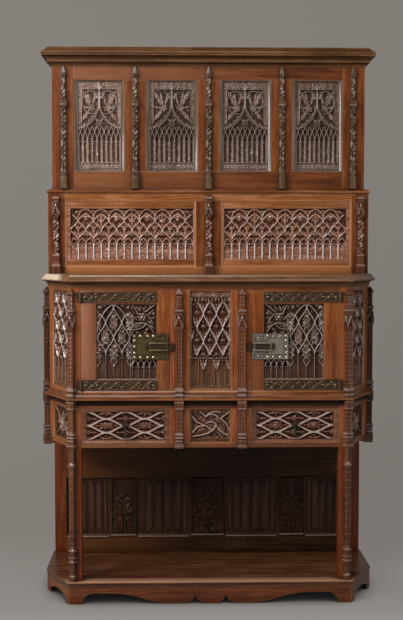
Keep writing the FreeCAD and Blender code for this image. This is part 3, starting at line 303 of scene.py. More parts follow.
@dataclass(frozen=True)
class ForgedIron:
    """Hammered wrought iron, waxed and handled: a dark skin with a dull sheen, paler where hands
    reach it.

    Its hammer blows are 7 mm across on the flats and 3 mm on nail heads.
    """

    name: str
    dark: str
    light: str
    gloss: float = 0.45
    hammer: float = 7.0
    chased: bool = False

    def material(self) -> Material:
        """Builds the material, or returns it if it is there already."""
        if self.name in bpy.data.materials:
            return bpy.data.materials[self.name]
        made, tree, shader = new_material(self.name)
        place = add_node(tree, "TexCoord").outputs["Object"]
        blows = add_node(tree, "TexVoronoi", {
            "in:Scale": 1 / (self.hammer * MM), "feature": "SMOOTH_F1"}, Vector=place)
        skin = add_node(tree, "TexNoise", {
            "in:Scale": 1 / (3.0 * MM), "in:Detail": 6.0, "in:Roughness": 0.7}, Vector=place)
        face = add_node(tree, "ValToRGB", {"stops": [
            (0.35, linear(self.dark)), (0.7, linear(self.light))]},
            Fac=skin).outputs["Color"]
        if self.chased:
            relief = add_node(tree, "Attribute", {"attribute_name": "relief"})
            depth = add_node(tree, "ValToRGB", {"stops": [(0.1, PUNCHED), (0.85, CLEAR)]},
                             Fac=relief.outputs["Fac"])
            face = add_node(tree, "Mix", {
                "data_type": "RGBA", "blend_type": "MULTIPLY", "in:0": 1.0},
                _6=face, _7=depth).outputs[2]
        tree.links.new(face, shader.inputs["Base Color"])
        rough = add_node(tree, "MapRange", {
            "in:To Min": self.gloss - 0.12, "in:To Max": self.gloss + 0.2}, Value=skin)
        tree.links.new(rough.outputs["Result"], shader.inputs["Roughness"])
        both = add_node(tree, "Math", {"operation": "MULTIPLY_ADD", "in:1": 0.3}, _0=skin, _2=blows)
        bump = add_node(tree, "Bump", {"in:Strength": 0.5, "in:Distance": 0.5 * MM}, Height=both)
        tree.links.new(bump.outputs["Normal"], shader.inputs["Normal"])
        shader.inputs["Metallic"].default_value = 0.85
        return made


# Waxed oak, planed and rubbed. The three colours are its dark fibres, its body and its light
# fibres.

# Rails: red-brown, with painted shade beside the mouldings, and paler to the left as painted light,
# where the lamp falls.
FRAME_ACROSS = GradedOak("oak_rail", "#331606", "#522910", "#693c1f", pale="#784b2e", axis="X",
    line=-0.6, spread=0.9)
# Stiles, ends and side panels: the same wood with its streaks upright.
FRAME_UPRIGHT = WaxedOak("oak_stile", "#3d1a08", "#5e2f12", "#734523", Grain.UPRIGHT)
# Cornice: dry and hardly waxed, so the top edge looks brown and matt.
CORNICE_OAK = WaxedOak("oak_cornice", "#2d1808", "#4c2f16", "#65462d", gloss=0.5, glint=0.12,
    edge_wear_and_light=0.35)
# Planed mouldings: their polish draws a bright line along each fillet, and deeper painted shade
# darkens their corners.
MOULD_OAK = WaxedOak("oak_mould", "#391906", "#5e3113", "#7e5130", gloss=0.34, glint=0.36,
    corner_shade=0.95, reach=34.0)
# Cove under the string course: dark wax with painted shade, nearly black, so it reads as a deep
# shadow.
COVE_OAK = WaxedOak("oak_cove", "#180c04", "#27160b", "#392413", gloss=0.5, glint=0.1, edge_wear_and_light=0.2)
# Front and corner posts: dark chestnut round the open stage, lighter from the drawers up.
POST_OAK = GradedOak("oak_post", "#331304", "#512108", "#6c3614", Grain.UPRIGHT, glint=0.2,
    pale="#915531", axis="Z", line=0.7, spread=-0.08)
# Rails and soffit of the open stage: nearly black, dark wood with painted shade of the deep stage,
# and browner to the left as painted light.
STAGE_OAK = GradedOak("oak_stage", "#1a0d05", "#2d190d", "#402716", gloss=0.45, glint=0.12,
    edge_wear_and_light=0.3, pale="#673b19", axis="X", line=-0.75, spread=0.7)
# Platform: dark boards with a pale front edge, a painted highlight where the nosing catches the
# light.
PLATFORM_OAK = GradedOak("oak_platform", "#271107", "#442312", "#5c3c24", pale="#c19372",
    line=-0.226, spread=0.06, above=0.089)
# Stiles between the doors: the warmest, brightest wood.
STILE_OAK = WaxedOak("oak_centre_stile", "#55280b", "#7b3f1d", "#935b39", Grain.UPRIGHT)
# Insides, floors and runners: never waxed, so pale, dry and dull.
INNER_OAK = WaxedOak("oak_inner", "#3e2c1d", "#624831", "#7b6147", gloss=0.6, glint=0.2)
# Back boards: the same dry wood with its grain upright.
INNER_UPRIGHT = WaxedOak("oak_inner_upright", "#3e2c1d", "#624831", "#7b6147", Grain.UPRIGHT,
    gloss=0.6, glint=0.2)
# Carved panels of the centre and the cants: grey-brown hollows with painted shade under bright
# ridges with painted highlights.
CARVED = CarvedOak("oak_carved_panel", "#3e2514", "#5c3b26", "#785846", Grain.UPRIGHT, gloss=0.27,
    ground="#2d180c", ridge="#c1b0aa")
# Drawer fronts and frieze: a nearly black ground of painted shade, so the bands stand out.
CARVED_ACROSS = CarvedOak("oak_carved_across", "#3e2012", "#5c3722", "#79513d", gloss=0.3,
    glint=0.38, ground="#28150c", ridge="#a9968d")
# Linenfold and muntins of the stage: dark and dull, partly painted shade of the deep stage, seen by
# their edges alone.
CARVED_STAGE = CarvedOak("oak_carved_stage", "#21100a", "#331d13", "#462c1d", Grain.UPRIGHT,
    gloss=0.42, glint=0.16, ground="#150b06", ridge="#534132", edge_wear_and_light=0.3)
# Sills of the linenfold: a thin pale grey line.
SILL_OAK = WaxedOak("oak_sill", "#42342a", "#5e4d42", "#7d6c61", gloss=0.4, glint=0.3)
# Buttresses and lower pinnacles: painted shade in the cuts, and painted highlights on the beads and
# gables.
SHAFT_OAK = CarvedOak("oak_shaft", "#35180c", "#502a15", "#683e28", Grain.UPRIGHT, gloss=0.32,
    glint=0.36, ground="#1f0f06", ridge="#9e8f88")
# Buttresses at the back corners: the same work, darker.
REAR_SHAFT = CarvedOak("oak_shaft_rear", "#26130b", "#3e2417", "#593c2a", Grain.UPRIGHT, gloss=0.36,
    glint=0.25, ground="#180b05", ridge="#7b6e65")
# Upper pinnacles: dusty, greyer than the wood around them, with painted highlights on their ridges.
GREY_SHAFT = CarvedOak("oak_shaft_grey", "#2e1b10", "#44301f", "#5f4835", Grain.UPRIGHT, gloss=0.34,
    glint=0.3, ground="#150904", ridge="#86776c")
# Rails of the cants and sides: their grain follows both level ways.
FRAME_LEVEL = WaxedOak("oak_return", "#441f0b", "#653716", "#7d4a29", Grain.LEVEL)
# Rails of the lower gallery: orange-brown, palest over the worktop.
GRADIN_OAK = GradedOak("oak_gradin", "#50270c", "#72421d", "#8f5d3c", pale="#9d6336", axis="Z",
    line=1.375, spread=0.01)
# Worktop: grey-brown, with a painted highlight that turns it nearly white at its left end.
WORKTOP_OAK = GradedOak("oak_worktop", "#452917", "#62412b", "#7c5b43", glint=0.4, pale="#e1caaf",
    axis="X", line=-0.63, spread=0.03)
# Aprons of the plinth: dark red-brown, grain level.
APRON_OAK = WaxedOak("oak_apron", "#361707", "#51260e", "#6b3a1c", Grain.LEVEL)
# Door stiles: warm, and paler at the left end, where the light strikes.
DOOR_UPRIGHT = GradedOak("oak_door_stile", "#491e08", "#6a3613", "#804d28", Grain.UPRIGHT,
    pale="#865b47", axis="X", line=-0.5, spread=0.06)
# Door rails: the same warm wood, grain across.
DOOR_ACROSS = WaxedOak("oak_door_rail", "#49200a", "#6c3714", "#824d27")
# Door carving: greyer than its frame, with painted shade and dust in the hollows and silvery
# painted highlights on the ridges.
DOOR_CARVED = CarvedOak("oak_door_carved", "#362115", "#51392a", "#6a5244", Grain.UPRIGHT,
    gloss=0.27, ground="#2c1a10", ridge="#bbadaa")
# Left outer upper panel: dusty grey, the lit copy of the upper panels' finish, painted paler as
# painted light where the lamp falls most.
LIT_UPPER_CARVED = CarvedOak("oak_carved_upper_lit", "#503829", "#745b4d", "#917c6f", Grain.UPRIGHT,
    gloss=0.3, glint=0.4, ground="#433026", ridge="#b5a69c")
# The other upper panels: the same dust painted darker as painted shade for less light, so dim and
# low in contrast.
SHADED_UPPER_CARVED = CarvedOak("oak_carved_upper_shaded", "#3f2d21", "#5d493d", "#746258", Grain.UPRIGHT, gloss=0.32,
    glint=0.34, ground="#33241b", ridge="#887b71")
# Long gallery panels: light brown ground and the brightest painted highlights of the piece on the
# ridges.
GRADIN_CARVED = CarvedOak("oak_carved_gradin", "#5b3421", "#7e513d", "#9d7664", gloss=0.26,
    ground="#3c2315", ridge="#dcd0d0")
# Colonnettes: red-brown, with warm painted highlights on their rings and beads.
POST_SHAFT = CarvedOak("oak_post_shaft", "#31180c", "#4b2814", "#673c24", Grain.UPRIGHT, gloss=0.3,
    ground="#1c0d06", ridge="#8d6e5d")
# Slopes round the upper panels: grey-brown, they frame the carving softly.
CHAMFER_OAK = WaxedOak("oak_chamfer", "#3a291c", "#544031", "#715d4d", Grain.UPRIGHT, glint=0.4,
    edge_wear_and_light=0.25)

# Wrought iron, forged, filed and waxed. The two colours are its skin and where it is rubbed.

# Straps, pintles and pull bosses: brown-black iron with rubbed high spots.
STRAP_IRON = ForgedIron("iron_strap", "#33261a", "#6d5640")
# Chased face of the straps: paler on the raised scrolls, dark in the punching.
STRAP_SHEET = ForgedIron("iron_strap_chased", "#4a3a2b", "#79634c", chased=True)
# Drop pulls: the darkest iron, smoothed by hands.
PULL_IRON = ForgedIron("iron_pull", "#1d1a17", "#4a443c")
# Left lock plate: brownish iron, like old brass in tone.
LEFT_IRON = ForgedIron("iron_left", "#352b1a", "#6c5c38")
# Its pierced face: yellow-brown squares over dark ones.
LEFT_SHEET = ForgedIron("iron_left_chased", "#392e1b", "#8d774c", gloss=0.36, chased=True)
# Right lock plate: cleaned to a light grey.
RIGHT_IRON = ForgedIron("iron_right", "#4b443c", "#938a7c", gloss=0.36)
# Its pierced face: pale steely squares over dark ones.
RIGHT_SHEET = ForgedIron("iron_right_chased", "#6f665a", "#cdc4b5", gloss=0.32, chased=True)
# Nail heads of the locks: nearly white where they were polished.
NAIL_IRON = ForgedIron("iron_nail", "#8d8376", "#ded4c4", gloss=0.28, hammer=3.0)
# Nail heads of the straps: duller, a grey-brown spark.
STRAP_NAIL = ForgedIron("iron_strap_nail", "#4d4337", "#928470", gloss=0.36, hammer=3.0)
# Bolts: dark, with a sheen from sliding.
BOLT_IRON = ForgedIron("iron_bolt", "#29211a", "#62523f", gloss=0.35)
# Guides of the right bolt: light grey bars.
RAIL_IRON = ForgedIron("iron_rail", "#6a665c", "#b5b0a4", gloss=0.3)
# Guides of the left bolt: brownish bars.
LEFT_RAIL = ForgedIron("iron_rail_left", "#574936", "#a8946f", gloss=0.3)


# Meshes

def clear_selection() -> None:
    """Deselects every object."""
    bpy.ops.object.select_all(action="DESELECT")


def pick(piece: Piece) -> Piece:
    """Selects one object alone, makes it the active one and returns it."""
    clear_selection()
    piece.select_set(True)
    bpy.context.view_layer.objects.active = piece
    return piece


def take(name: str) -> Piece:
    """Names the object that was just added and returns it."""
    made = bpy.context.object
    made.name = name
    made.data.name = name
    return made


def shaped_grid(name: str, places: np.ndarray) -> Piece:
    """Adds a grid and sets each of its points in its place.

    Args:
        name: the object's name.
        places: rows by columns by three coordinates.

    Returns:
        The object, with an open edge.
    """
    clear_selection()
    rows, columns = places.shape[:2]
    bpy.ops.mesh.primitive_grid_add(x_subdivisions=columns - 1, y_subdivisions=rows - 1, size=1)
    made = take(name)
    made.data.vertices.foreach_set("co", (places * MM).astype(np.float32).ravel())
    made.data.update()
    return made


def close_mesh(piece: Piece, merge: float = 0.02) -> Piece:
    """Merges doubled points, closes open edges and turns the faces outwards.

    Args:
        piece: the object.
        merge: how near doubled points lie.

    Returns:
        The same object.
    """
    pick(piece)
    bpy.ops.object.mode_set(mode="EDIT")
    bpy.ops.mesh.select_all(action="SELECT")
    bpy.ops.mesh.remove_doubles(threshold=merge * MM)
    bpy.ops.mesh.select_all(action="SELECT")
    bpy.ops.mesh.fill_holes(sides=0)
    bpy.ops.mesh.select_all(action="SELECT")
    bpy.ops.mesh.normals_make_consistent(inside=False)
    bpy.ops.object.mode_set(mode="OBJECT")
    return piece


def joined(name: str, pieces: list[Piece]) -> Piece:
    """Joins pieces into one object.

    Args:
        name: the joined object's name.
        pieces: the objects, which are used up.

    Returns:
        The joined object.
    """
    clear_selection()
    for piece in pieces:
        piece.select_set(True)
    bpy.context.view_layer.objects.active = pieces[0]
    bpy.ops.object.join()
    return take(name)


def swept(name: str, rings: np.ndarray, closed: bool = False) -> Piece:
    """A bar whose closed section is given at each of its corners.

    Args:
        name: the object's name.
        rings: corners by section points by three coordinates.
        closed: whether the last corner runs on into the first.

    Returns:
        The closed object.
    """
    table = np.concatenate([rings, rings[:, :1]], axis=1)
    if closed:
        table = np.concatenate([table, table[:1]], axis=0)
    return close_mesh(shaped_grid(name, table))


def block(name: str, low: Place, high: Place, bevel: float) -> Piece:
    """A board with softened edges.

    Args:
        name: the object's name.
        low: its lowest corner.
        high: its highest corner.
        bevel: how wide its edges are softened.

    Returns:
        The object.
    """
    clear_selection()
    middle = [(a + b) / 2 * MM for a, b in zip(low, high)]
    bpy.ops.mesh.primitive_cube_add(size=1, location=middle)
    made = take(name)
    made.scale = [(b - a) * MM for a, b in zip(low, high)]
    bpy.ops.object.transform_apply(location=True, rotation=True, scale=True)
    soften = made.modifiers.new("edges", "BEVEL")
    soften.width = bevel * MM
    soften.segments = 2
    pick(made)
    bpy.ops.object.modifier_apply(modifier=soften.name)
    return made


def turned(name: str, profile: list[Point], foot: Place, axis: Place, sides: int) -> Piece:
    """A turned piece.

    Args:
        name: the object's name.
        profile: (radius, distance along the axis) points.
        foot: where the axis starts.
        axis: the axis' direction.
        sides: how many sides stand for the round.

    Returns:
        The closed object.
    """
    direction = np.array(axis, float)
    direction /= np.linalg.norm(direction)
    helper = np.array([0.0, 0.0, 1.0]) if abs(direction[2]) < 0.9 else np.array([1.0, 0.0, 0.0])
    first = np.cross(direction, helper)
    first /= np.linalg.norm(first)
    second = np.cross(direction, first)
    angles = np.linspace(0, 2 * math.pi, sides + 1)
    radii = np.array([point[0] for point in profile])[:, None, None]
    along = np.array([point[1] for point in profile])[:, None, None]
    ring = np.cos(angles)[:, None] * first + np.sin(angles)[:, None] * second
    places = np.array(foot) + radii * ring[None] + along * direction
    return close_mesh(shaped_grid(name, places))


def hand_over(piece: Piece, finish: WaxedOak | ForgedIron,
              body: str = "carcass", node: str = "", angle: float = 32.0) -> None:
    """Gives a piece its finish and hangs it on its body.

    Args:
        piece: the object.
        finish: its finish.
        body: the body that it rides on.
        node: the node that it stands for, if any.
        angle: the angle under which faces are smoothed, in degrees.
    """
    pick(piece)
    bpy.ops.object.shade_smooth_by_angle(angle=math.radians(angle), keep_sharp_edges=True)
    piece.data.materials.clear()
    piece.data.materials.append(finish.material())
    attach(piece, body)
    if node:
        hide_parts(node)
    LOG.info("%s rides on %s", piece.name, body)


def dress(node: str, finish: WaxedOak | ForgedIron, bevel: float) -> None:
    """Gives a framing piece its finish and softens its edges.

    Args:
        node: the node's name.
        finish: its finish.
        bevel: how wide its edges are softened, or 0.
    """
    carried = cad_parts[node]
    if not carried.material_slots:
        carried.data.materials.append(finish.material())
    for place in carried.material_slots:
        place.material = finish.material()
    if bevel:
        weld = carried.modifiers.new("weld", "WELD")
        weld.merge_threshold = 0.01 * MM
        soften = carried.modifiers.new("edges", "BEVEL")
        soften.width = bevel * MM
        soften.segments = 2
        soften.limit_method = "ANGLE"
        soften.angle_limit = math.radians(40)
    LOG.info("%s is dressed in %s", node, finish.name)


def dress_each(*rows: tuple[str, WaxedOak | ForgedIron, float]) -> None:
    """Dresses nodes, from the name, finish and bevel of each."""
    for node, finish, bevel in rows:
        dress(node, finish, bevel)


# Carving

def bend(*points: Point, steps: int = 12) -> np.ndarray:
    """Points of a curve that starts at the first and ends at the last of four control points."""
    a, b, c, d = (np.array(point, float) for point in points)
    t = np.linspace(0, 1, steps)[:, None]
    return (1 - t) ** 3 * a + 3 * (1 - t) ** 2 * t * b + 3 * (1 - t) * t ** 2 * c + t ** 3 * d


def pointed(left: float, right: float, spring: float, rise: float) -> list[np.ndarray]:
    """Both sides of a pointed arch."""
    middle, top = (left + right) / 2, spring + rise
    return [bend((edge, spring), (edge, spring + 0.55 * rise),
                 (edge + (middle - edge) * 0.25, spring + 0.85 * rise), (middle, top), steps=8)
            for edge in (left, right)]


def eased(path: tuple[Point, ...]) -> np.ndarray:
    """Points along a path that cut its corners by a hair."""
    points = np.array(path, float)
    share = np.linspace(0, len(path) - 1, 6 * len(path))
    return np.stack([np.interp(share, np.arange(len(path)), points[:, axis])
                     for axis in (0, 1)], axis=1)


@dataclass(frozen=True)
class Face:
    """Where a carved field lies: the foot of its left edge, and its directions in plan."""

    origin: Place
    across: Point = (1.0, 0.0)
    out: Point = (0.0, -1.0)

    def place(self, u: np.ndarray, v: np.ndarray, h: np.ndarray) -> np.ndarray:
        """Turns places on the field and heights over its ground to places in the room."""
        x = self.origin[0] + u * self.across[0] + h * self.out[0]
        y = self.origin[1] + u * self.across[1] + h * self.out[1]
        return np.stack([x, y, self.origin[2] + v + 0 * u], axis=-1)


class Carving:
    """A carved field: a table of heights over its ground, worked by ribs, leaves and rosettes."""

    def __init__(self, width: float, height: float, pitch: float = 1.6, seed: int = 1) -> None:
        """Lays out a flat field.

        Args:
            width: in millimetres.
            height: in millimetres.
            pitch: how far apart its points lie.
            seed: starts the small unevenness of the gouge.
        """
        self.width = width
        self.height = height
        self.u = np.linspace(0, width, max(3, round(width / pitch)))
        self.v = np.linspace(0, height, max(3, round(height / pitch)))
        self.h = np.zeros((len(self.v), len(self.u)))
        self.random = np.random.default_rng(seed)

    def _window(self, low: np.ndarray, high: np.ndarray) -> tuple[slice, slice]:
        """The rows and columns between two corners."""
        rows = slice(*np.searchsorted(self.v, (low[1], high[1])))
        columns = slice(*np.searchsorted(self.u, (low[0], high[0])))
        return rows, columns

    def rib(self, path: np.ndarray | list[Point], width: float, top: float,
            crown: float = 0.25) -> None:
        """Raises a chamfered rib along a path.

        Args:
            path: its points.
            width: at its foot.
            top: its height.
            crown: the share of its width that is flat on top.
        """
        points = np.asarray(path, float)
        reach = width / 2
        for start, end in zip(points, points[1:]):
            rows, columns = self._window(np.minimum(start, end) - reach,
                                         np.maximum(start, end) + reach)
            u, v = np.meshgrid(self.u[columns], self.v[rows])
            if not u.size:
                continue
            run = end - start
            length = float(run @ run) or 1.0
            share = np.clip(((u - start[0]) * run[0] + (v - start[1]) * run[1]) / length, 0, 1)
            away = np.hypot(u - start[0] - share * run[0], v - start[1] - share * run[1]) / reach
            lift = top * np.clip((1 - away) / (1 - crown), 0, 1) ** 1.15
            self.h[rows, columns] = np.maximum(self.h[rows, columns], lift)

    def ribs(self, paths: list, width: float, top: float, crown: float = 0.25) -> None:
        """Raises several ribs alike."""
        for path in paths:
            self.rib(path, width, top, crown)

    def border(self, low: Point, high: Point, width: float, top: float) -> None:
        """Raises a rib round an oblong, between two of its corners."""
        self.rib([low, (low[0], high[1]), high, (high[0], low[1]), low], width, top)

    def leaf(self, foot: Point, tip: Point, width: float, top: float) -> None:
        """Raises a pointed leaf with a sunk midrib.

        Args:
            foot: where it starts.
            tip: where it ends.
            width: at its widest.
            top: its height.
        """
        start, end = np.array(foot, float), np.array(tip, float)
        rows, columns = self._window(np.minimum(start, end) - width, np.maximum(start, end) + width)
        u, v = np.meshgrid(self.u[columns], self.v[rows])
        if not u.size:
            return
        run = end - start
        length = float(np.hypot(*run)) or 1.0
        run = run / length
        along = ((u - start[0]) * run[0] + (v - start[1]) * run[1]) / length
        side = np.abs(-(u - start[0]) * run[1] + (v - start[1]) * run[0])
        half = width / 2 * np.sin(np.pi * np.clip(along, 0, 1) ** 0.8) + 1e-6
        lobes = half * (0.82 + 0.18 * np.cos(along * 6 * np.pi))
        midrib = 0.35 * np.exp(-(side / (0.12 * width)) ** 2)
        lift = np.clip(1 - side / lobes, 0, 1) ** 0.55 - midrib
        inside = (along > 0) & (along < 1) & (side < lobes)
        lift = np.where(inside, top * np.clip(lift, 0, 1), 0)
        self.h[rows, columns] = np.maximum(self.h[rows, columns], lift)

    def leaves(self, strokes: tuple[tuple[Point, Point], ...], width: float, top: float) -> None:
        """Raises several leaves alike, each from its foot to its tip."""
        for foot, tip in strokes:
            self.leaf(foot, tip, width, top)

    def spray(self, root: Point, strokes: tuple[tuple[float, ...], ...]) -> None:
        """Raises pairs of leaves that lean to the left and right of an upright line.

        Args:
            root: a point on the line.
            strokes: for each pair, its foot's and its tip's distances across and up from the
                root, its width and its height.
        """
        for foot_u, foot_v, tip_u, tip_v, width, top in strokes:
            for side in SIDES:
                self.leaf((root[0] + side * foot_u, root[1] + foot_v),
                          (root[0] + side * tip_u, root[1] + tip_v), width, top)

    def star(self, centre: Point, leans: range | tuple[int, ...], reach: Point, width: float,
             top: float) -> None:
        """Raises leaves that stand out from a point, at leans in degrees and up to an oval."""
        for lean in leans:
            turn = math.radians(lean)
            tip = (centre[0] + reach[0] * math.cos(turn), centre[1] + reach[1] * math.sin(turn))
            self.leaf(centre, tip, width, top)

    def rosette(self, centre: Point, radius: float, petals: int, top: float) -> None:
        """Raises a rosette with a round eye.

        Args:
            centre: its middle.
            radius: in millimetres.
            petals: how many.
            top: its height.
        """
        middle = np.array(centre, float)
        rows, columns = self._window(middle - radius, middle + radius)
        u, v = np.meshgrid(self.u[columns] - centre[0], self.v[rows] - centre[1])
        if not u.size:
            return
        away = np.hypot(u, v) / radius
        turn = np.arctan2(v, u)
        edge = 0.72 + 0.28 * np.abs(np.cos(petals * turn / 2))
        petal = np.clip(1 - (away / edge) ** 2, 0, 1) ** 0.5
        petal *= 0.55 + 0.45 * np.abs(np.cos(petals * turn / 2))
        ring = 1 - 0.75 * np.exp(-((away - 0.36) / 0.07) ** 2)
        eye = np.clip(1 - (away / 0.3) ** 2, 0, 1) ** 0.5
        lift = top * np.maximum(petal * ring * 0.85, eye)
        self.h[rows, columns] = np.maximum(self.h[rows, columns], lift)

    def net(self, foot: Point, cell: Point, columns: int, low: float, high: float, width: float,
            top: float, inside: Callable[[float, float], bool] | None = None) -> list[Point]:
        """Raises a net of ogee cells that stand point to point.

        Args:
            foot: the lowest point of the first column's cell.
            cell: a cell's width and height.
            columns: how many half cells wide the net is.
            low: where the net starts.
            high: where the net ends.
            width: of the ribs.
            top: of the ribs.
            inside: a test that keeps a rib's point.

        Returns:
            The lowest points of the cells.
        """
        step = cell[0] / 2
        along = np.arange(low, high + 2, 2.0)
        turn = 2 * np.pi * (along - foot[1]) / cell[1]
        wave = 0.6 * np.cos(turn) + 0.4 * (2 / np.pi) * np.arcsin(np.cos(turn))
        for number in range(columns):
            swing = -wave if number % 2 == 0 else wave
            across = foot[0] + step * (number + 0.5 + 0.5 * swing)
            keep = np.ones(len(along), bool)
            if inside is not None:
                keep = np.array([inside(*point) for point in zip(across, along)])
            breaks = np.flatnonzero(np.diff(keep.astype(int))) + 1
            for part in np.split(np.arange(len(along)), breaks):
                if len(part) > 1 and keep[part[0]]:
                    self.rib(np.stack([across[part], along[part]], axis=1), width, top)
        cells = []
        for column in range(columns + 1):
            start = foot[1] + (cell[1] / 2 if column % 2 else 0)
            first = math.ceil((low - start) / cell[1] - 0.6)
            cells += [(foot[0] + column * step, start + number * cell[1])
                      for number in range(first, int((high - start) / cell[1]) + 1)]
        return cells

    def calyx(self, tip: Point, cell: Point, top: float) -> None:
        """Raises the thick leaf that fills the foot of a cell, under a small flower."""
        u, v = tip
        wide, tall = cell
        for side in SIDES:
            self.rib([(u, v + 0.02 * tall), (u + side * 0.2 * wide, v + 0.2 * tall)], 0.22 * wide,
                     top * 1.06, 0.1)
        self.spray(tip, (
            (0, 0.06 * tall, 0.34 * wide, 0.44 * tall, 0.24 * wide, top),
            (0.02 * wide, 0.62 * tall, 0.2 * wide, 0.5 * tall, 0.16 * wide, top * 0.8)))
        self.leaf((u, v + 0.04 * tall), (u, v + 0.4 * tall), 0.2 * wide, top * 0.8)
        self.rosette((u, v + 0.56 * tall), 0.17 * wide, 4, top * 0.85)
        self.leaf((u, v + 0.66 * tall), (u, v + 0.84 * tall), 0.14 * wide, top * 0.7)

    def raise_ground(self, low: Point, high: Point, height: float, fade: float = 0.0) -> None:
        """Leaves the ground between two corners higher, falling away over a distance above."""
        end = high[1] + fade
        rows, columns = self._window(np.array(low, float), np.array((high[0], end), float))
        rise = height * np.clip((end - self.v[rows]) / (fade or 1.0), 0, 1)[:, None]
        self.h[rows, columns] = np.maximum(self.h[rows, columns], rise)

    def lancets(self, left: float, right: float, count: int, foot: float, spring: float,
                rise: float, width: float, top: float, cusp: float) -> None:
        """Raises a row of lancets with cusped heads.

        Args:
            left: the first mullion.
            right: the last mullion.
            count: how many lancets.
            foot: the height of their sill.
            spring: the height where their heads start.
            rise: the height of their heads.
            width: of the mullions.
            top: of the mullions.
            cusp: how far the cusps stand in.
        """
        pitch = (right - left) / count
        for number in range(count + 1):
            x = left + number * pitch
            self.rib([(x, foot), (x, spring + 2)], width, top)
            if number < count:
                self.ribs(pointed(x, x + pitch, spring, rise), width * 0.8, top)
                for side, edge in ((1, x), (-1, x + pitch)):
                    self.rib([(edge, spring + 2), (edge + side * cusp, spring - 1)],
                             width * 0.7, top * 0.9)

    def gouged(self, amount: float = 0.3, spacing: float = 7.0, calm: float = 0.0) -> None:
        """Adds the small unevenness of gouge cuts, most of it in the ground.

        Args:
            amount: how deep the cuts are.
            spacing: how far apart they lie.
            calm: the height in the field under which they are shallow.
        """
        rows = max(2, round(self.height / spacing))
        columns = max(2, round(self.width / spacing))
        coarse = self.random.normal(0, amount, (rows, columns))
        at_v = np.linspace(0, rows - 1, len(self.v))
        at_u = np.linspace(0, columns - 1, len(self.u))
        fine = np.array([np.interp(at_u, np.arange(columns), row) for row in coarse])
        uneven = np.array([np.interp(at_v, np.arange(rows), column) for column in fine.T]).T
        rough = np.where(self.h < 0.6 * self.h.max(), 3.2, 1.0)
        self.h += uneven * np.where(self.v[:, None] < calm, 0.7, rough)

    def board(self, name: str, face: Face, sizes: Place, finish: WaxedOak | ForgedIron,
              node: str = "", slot: str = "oak_carved", body: str = "carcass",
              plain: np.ndarray | None = None) -> None:
        """Makes the carved board, closed at its edges and back, and hangs it on its body.

        Args:
            name: the object's name.
            face: where its ground lies.
            sizes: its thickness under the ground, the height that counts as a ridge, and the
                greatest height that is left standing.
            finish: its finish.
            node: the node that it stands for, if any.
            slot: not used.
            body: the body that it rides on.
            plain: which points are uncarved wood.
        """
        thickness, full, limit = sizes
        height = np.minimum(self.h, limit)
        padded = np.pad(height, 1, constant_values=-thickness)
        u, v = np.meshgrid(np.pad(self.u, 1, mode="edge"), np.pad(self.v, 1, mode="edge"))
        made = shaped_grid(name, face.place(u, v, padded))
        relief = made.data.attributes.new("relief", "FLOAT", "POINT")
        share = np.clip(padded / full, 0, 1)
        if plain is not None:
            share = np.where(np.pad(plain, 1, constant_values=True), 0.5, share)
        relief.data.foreach_set("value", share.astype(np.float32).ravel())
        hand_over(close_mesh(made, merge=0.0001), finish, body, node)


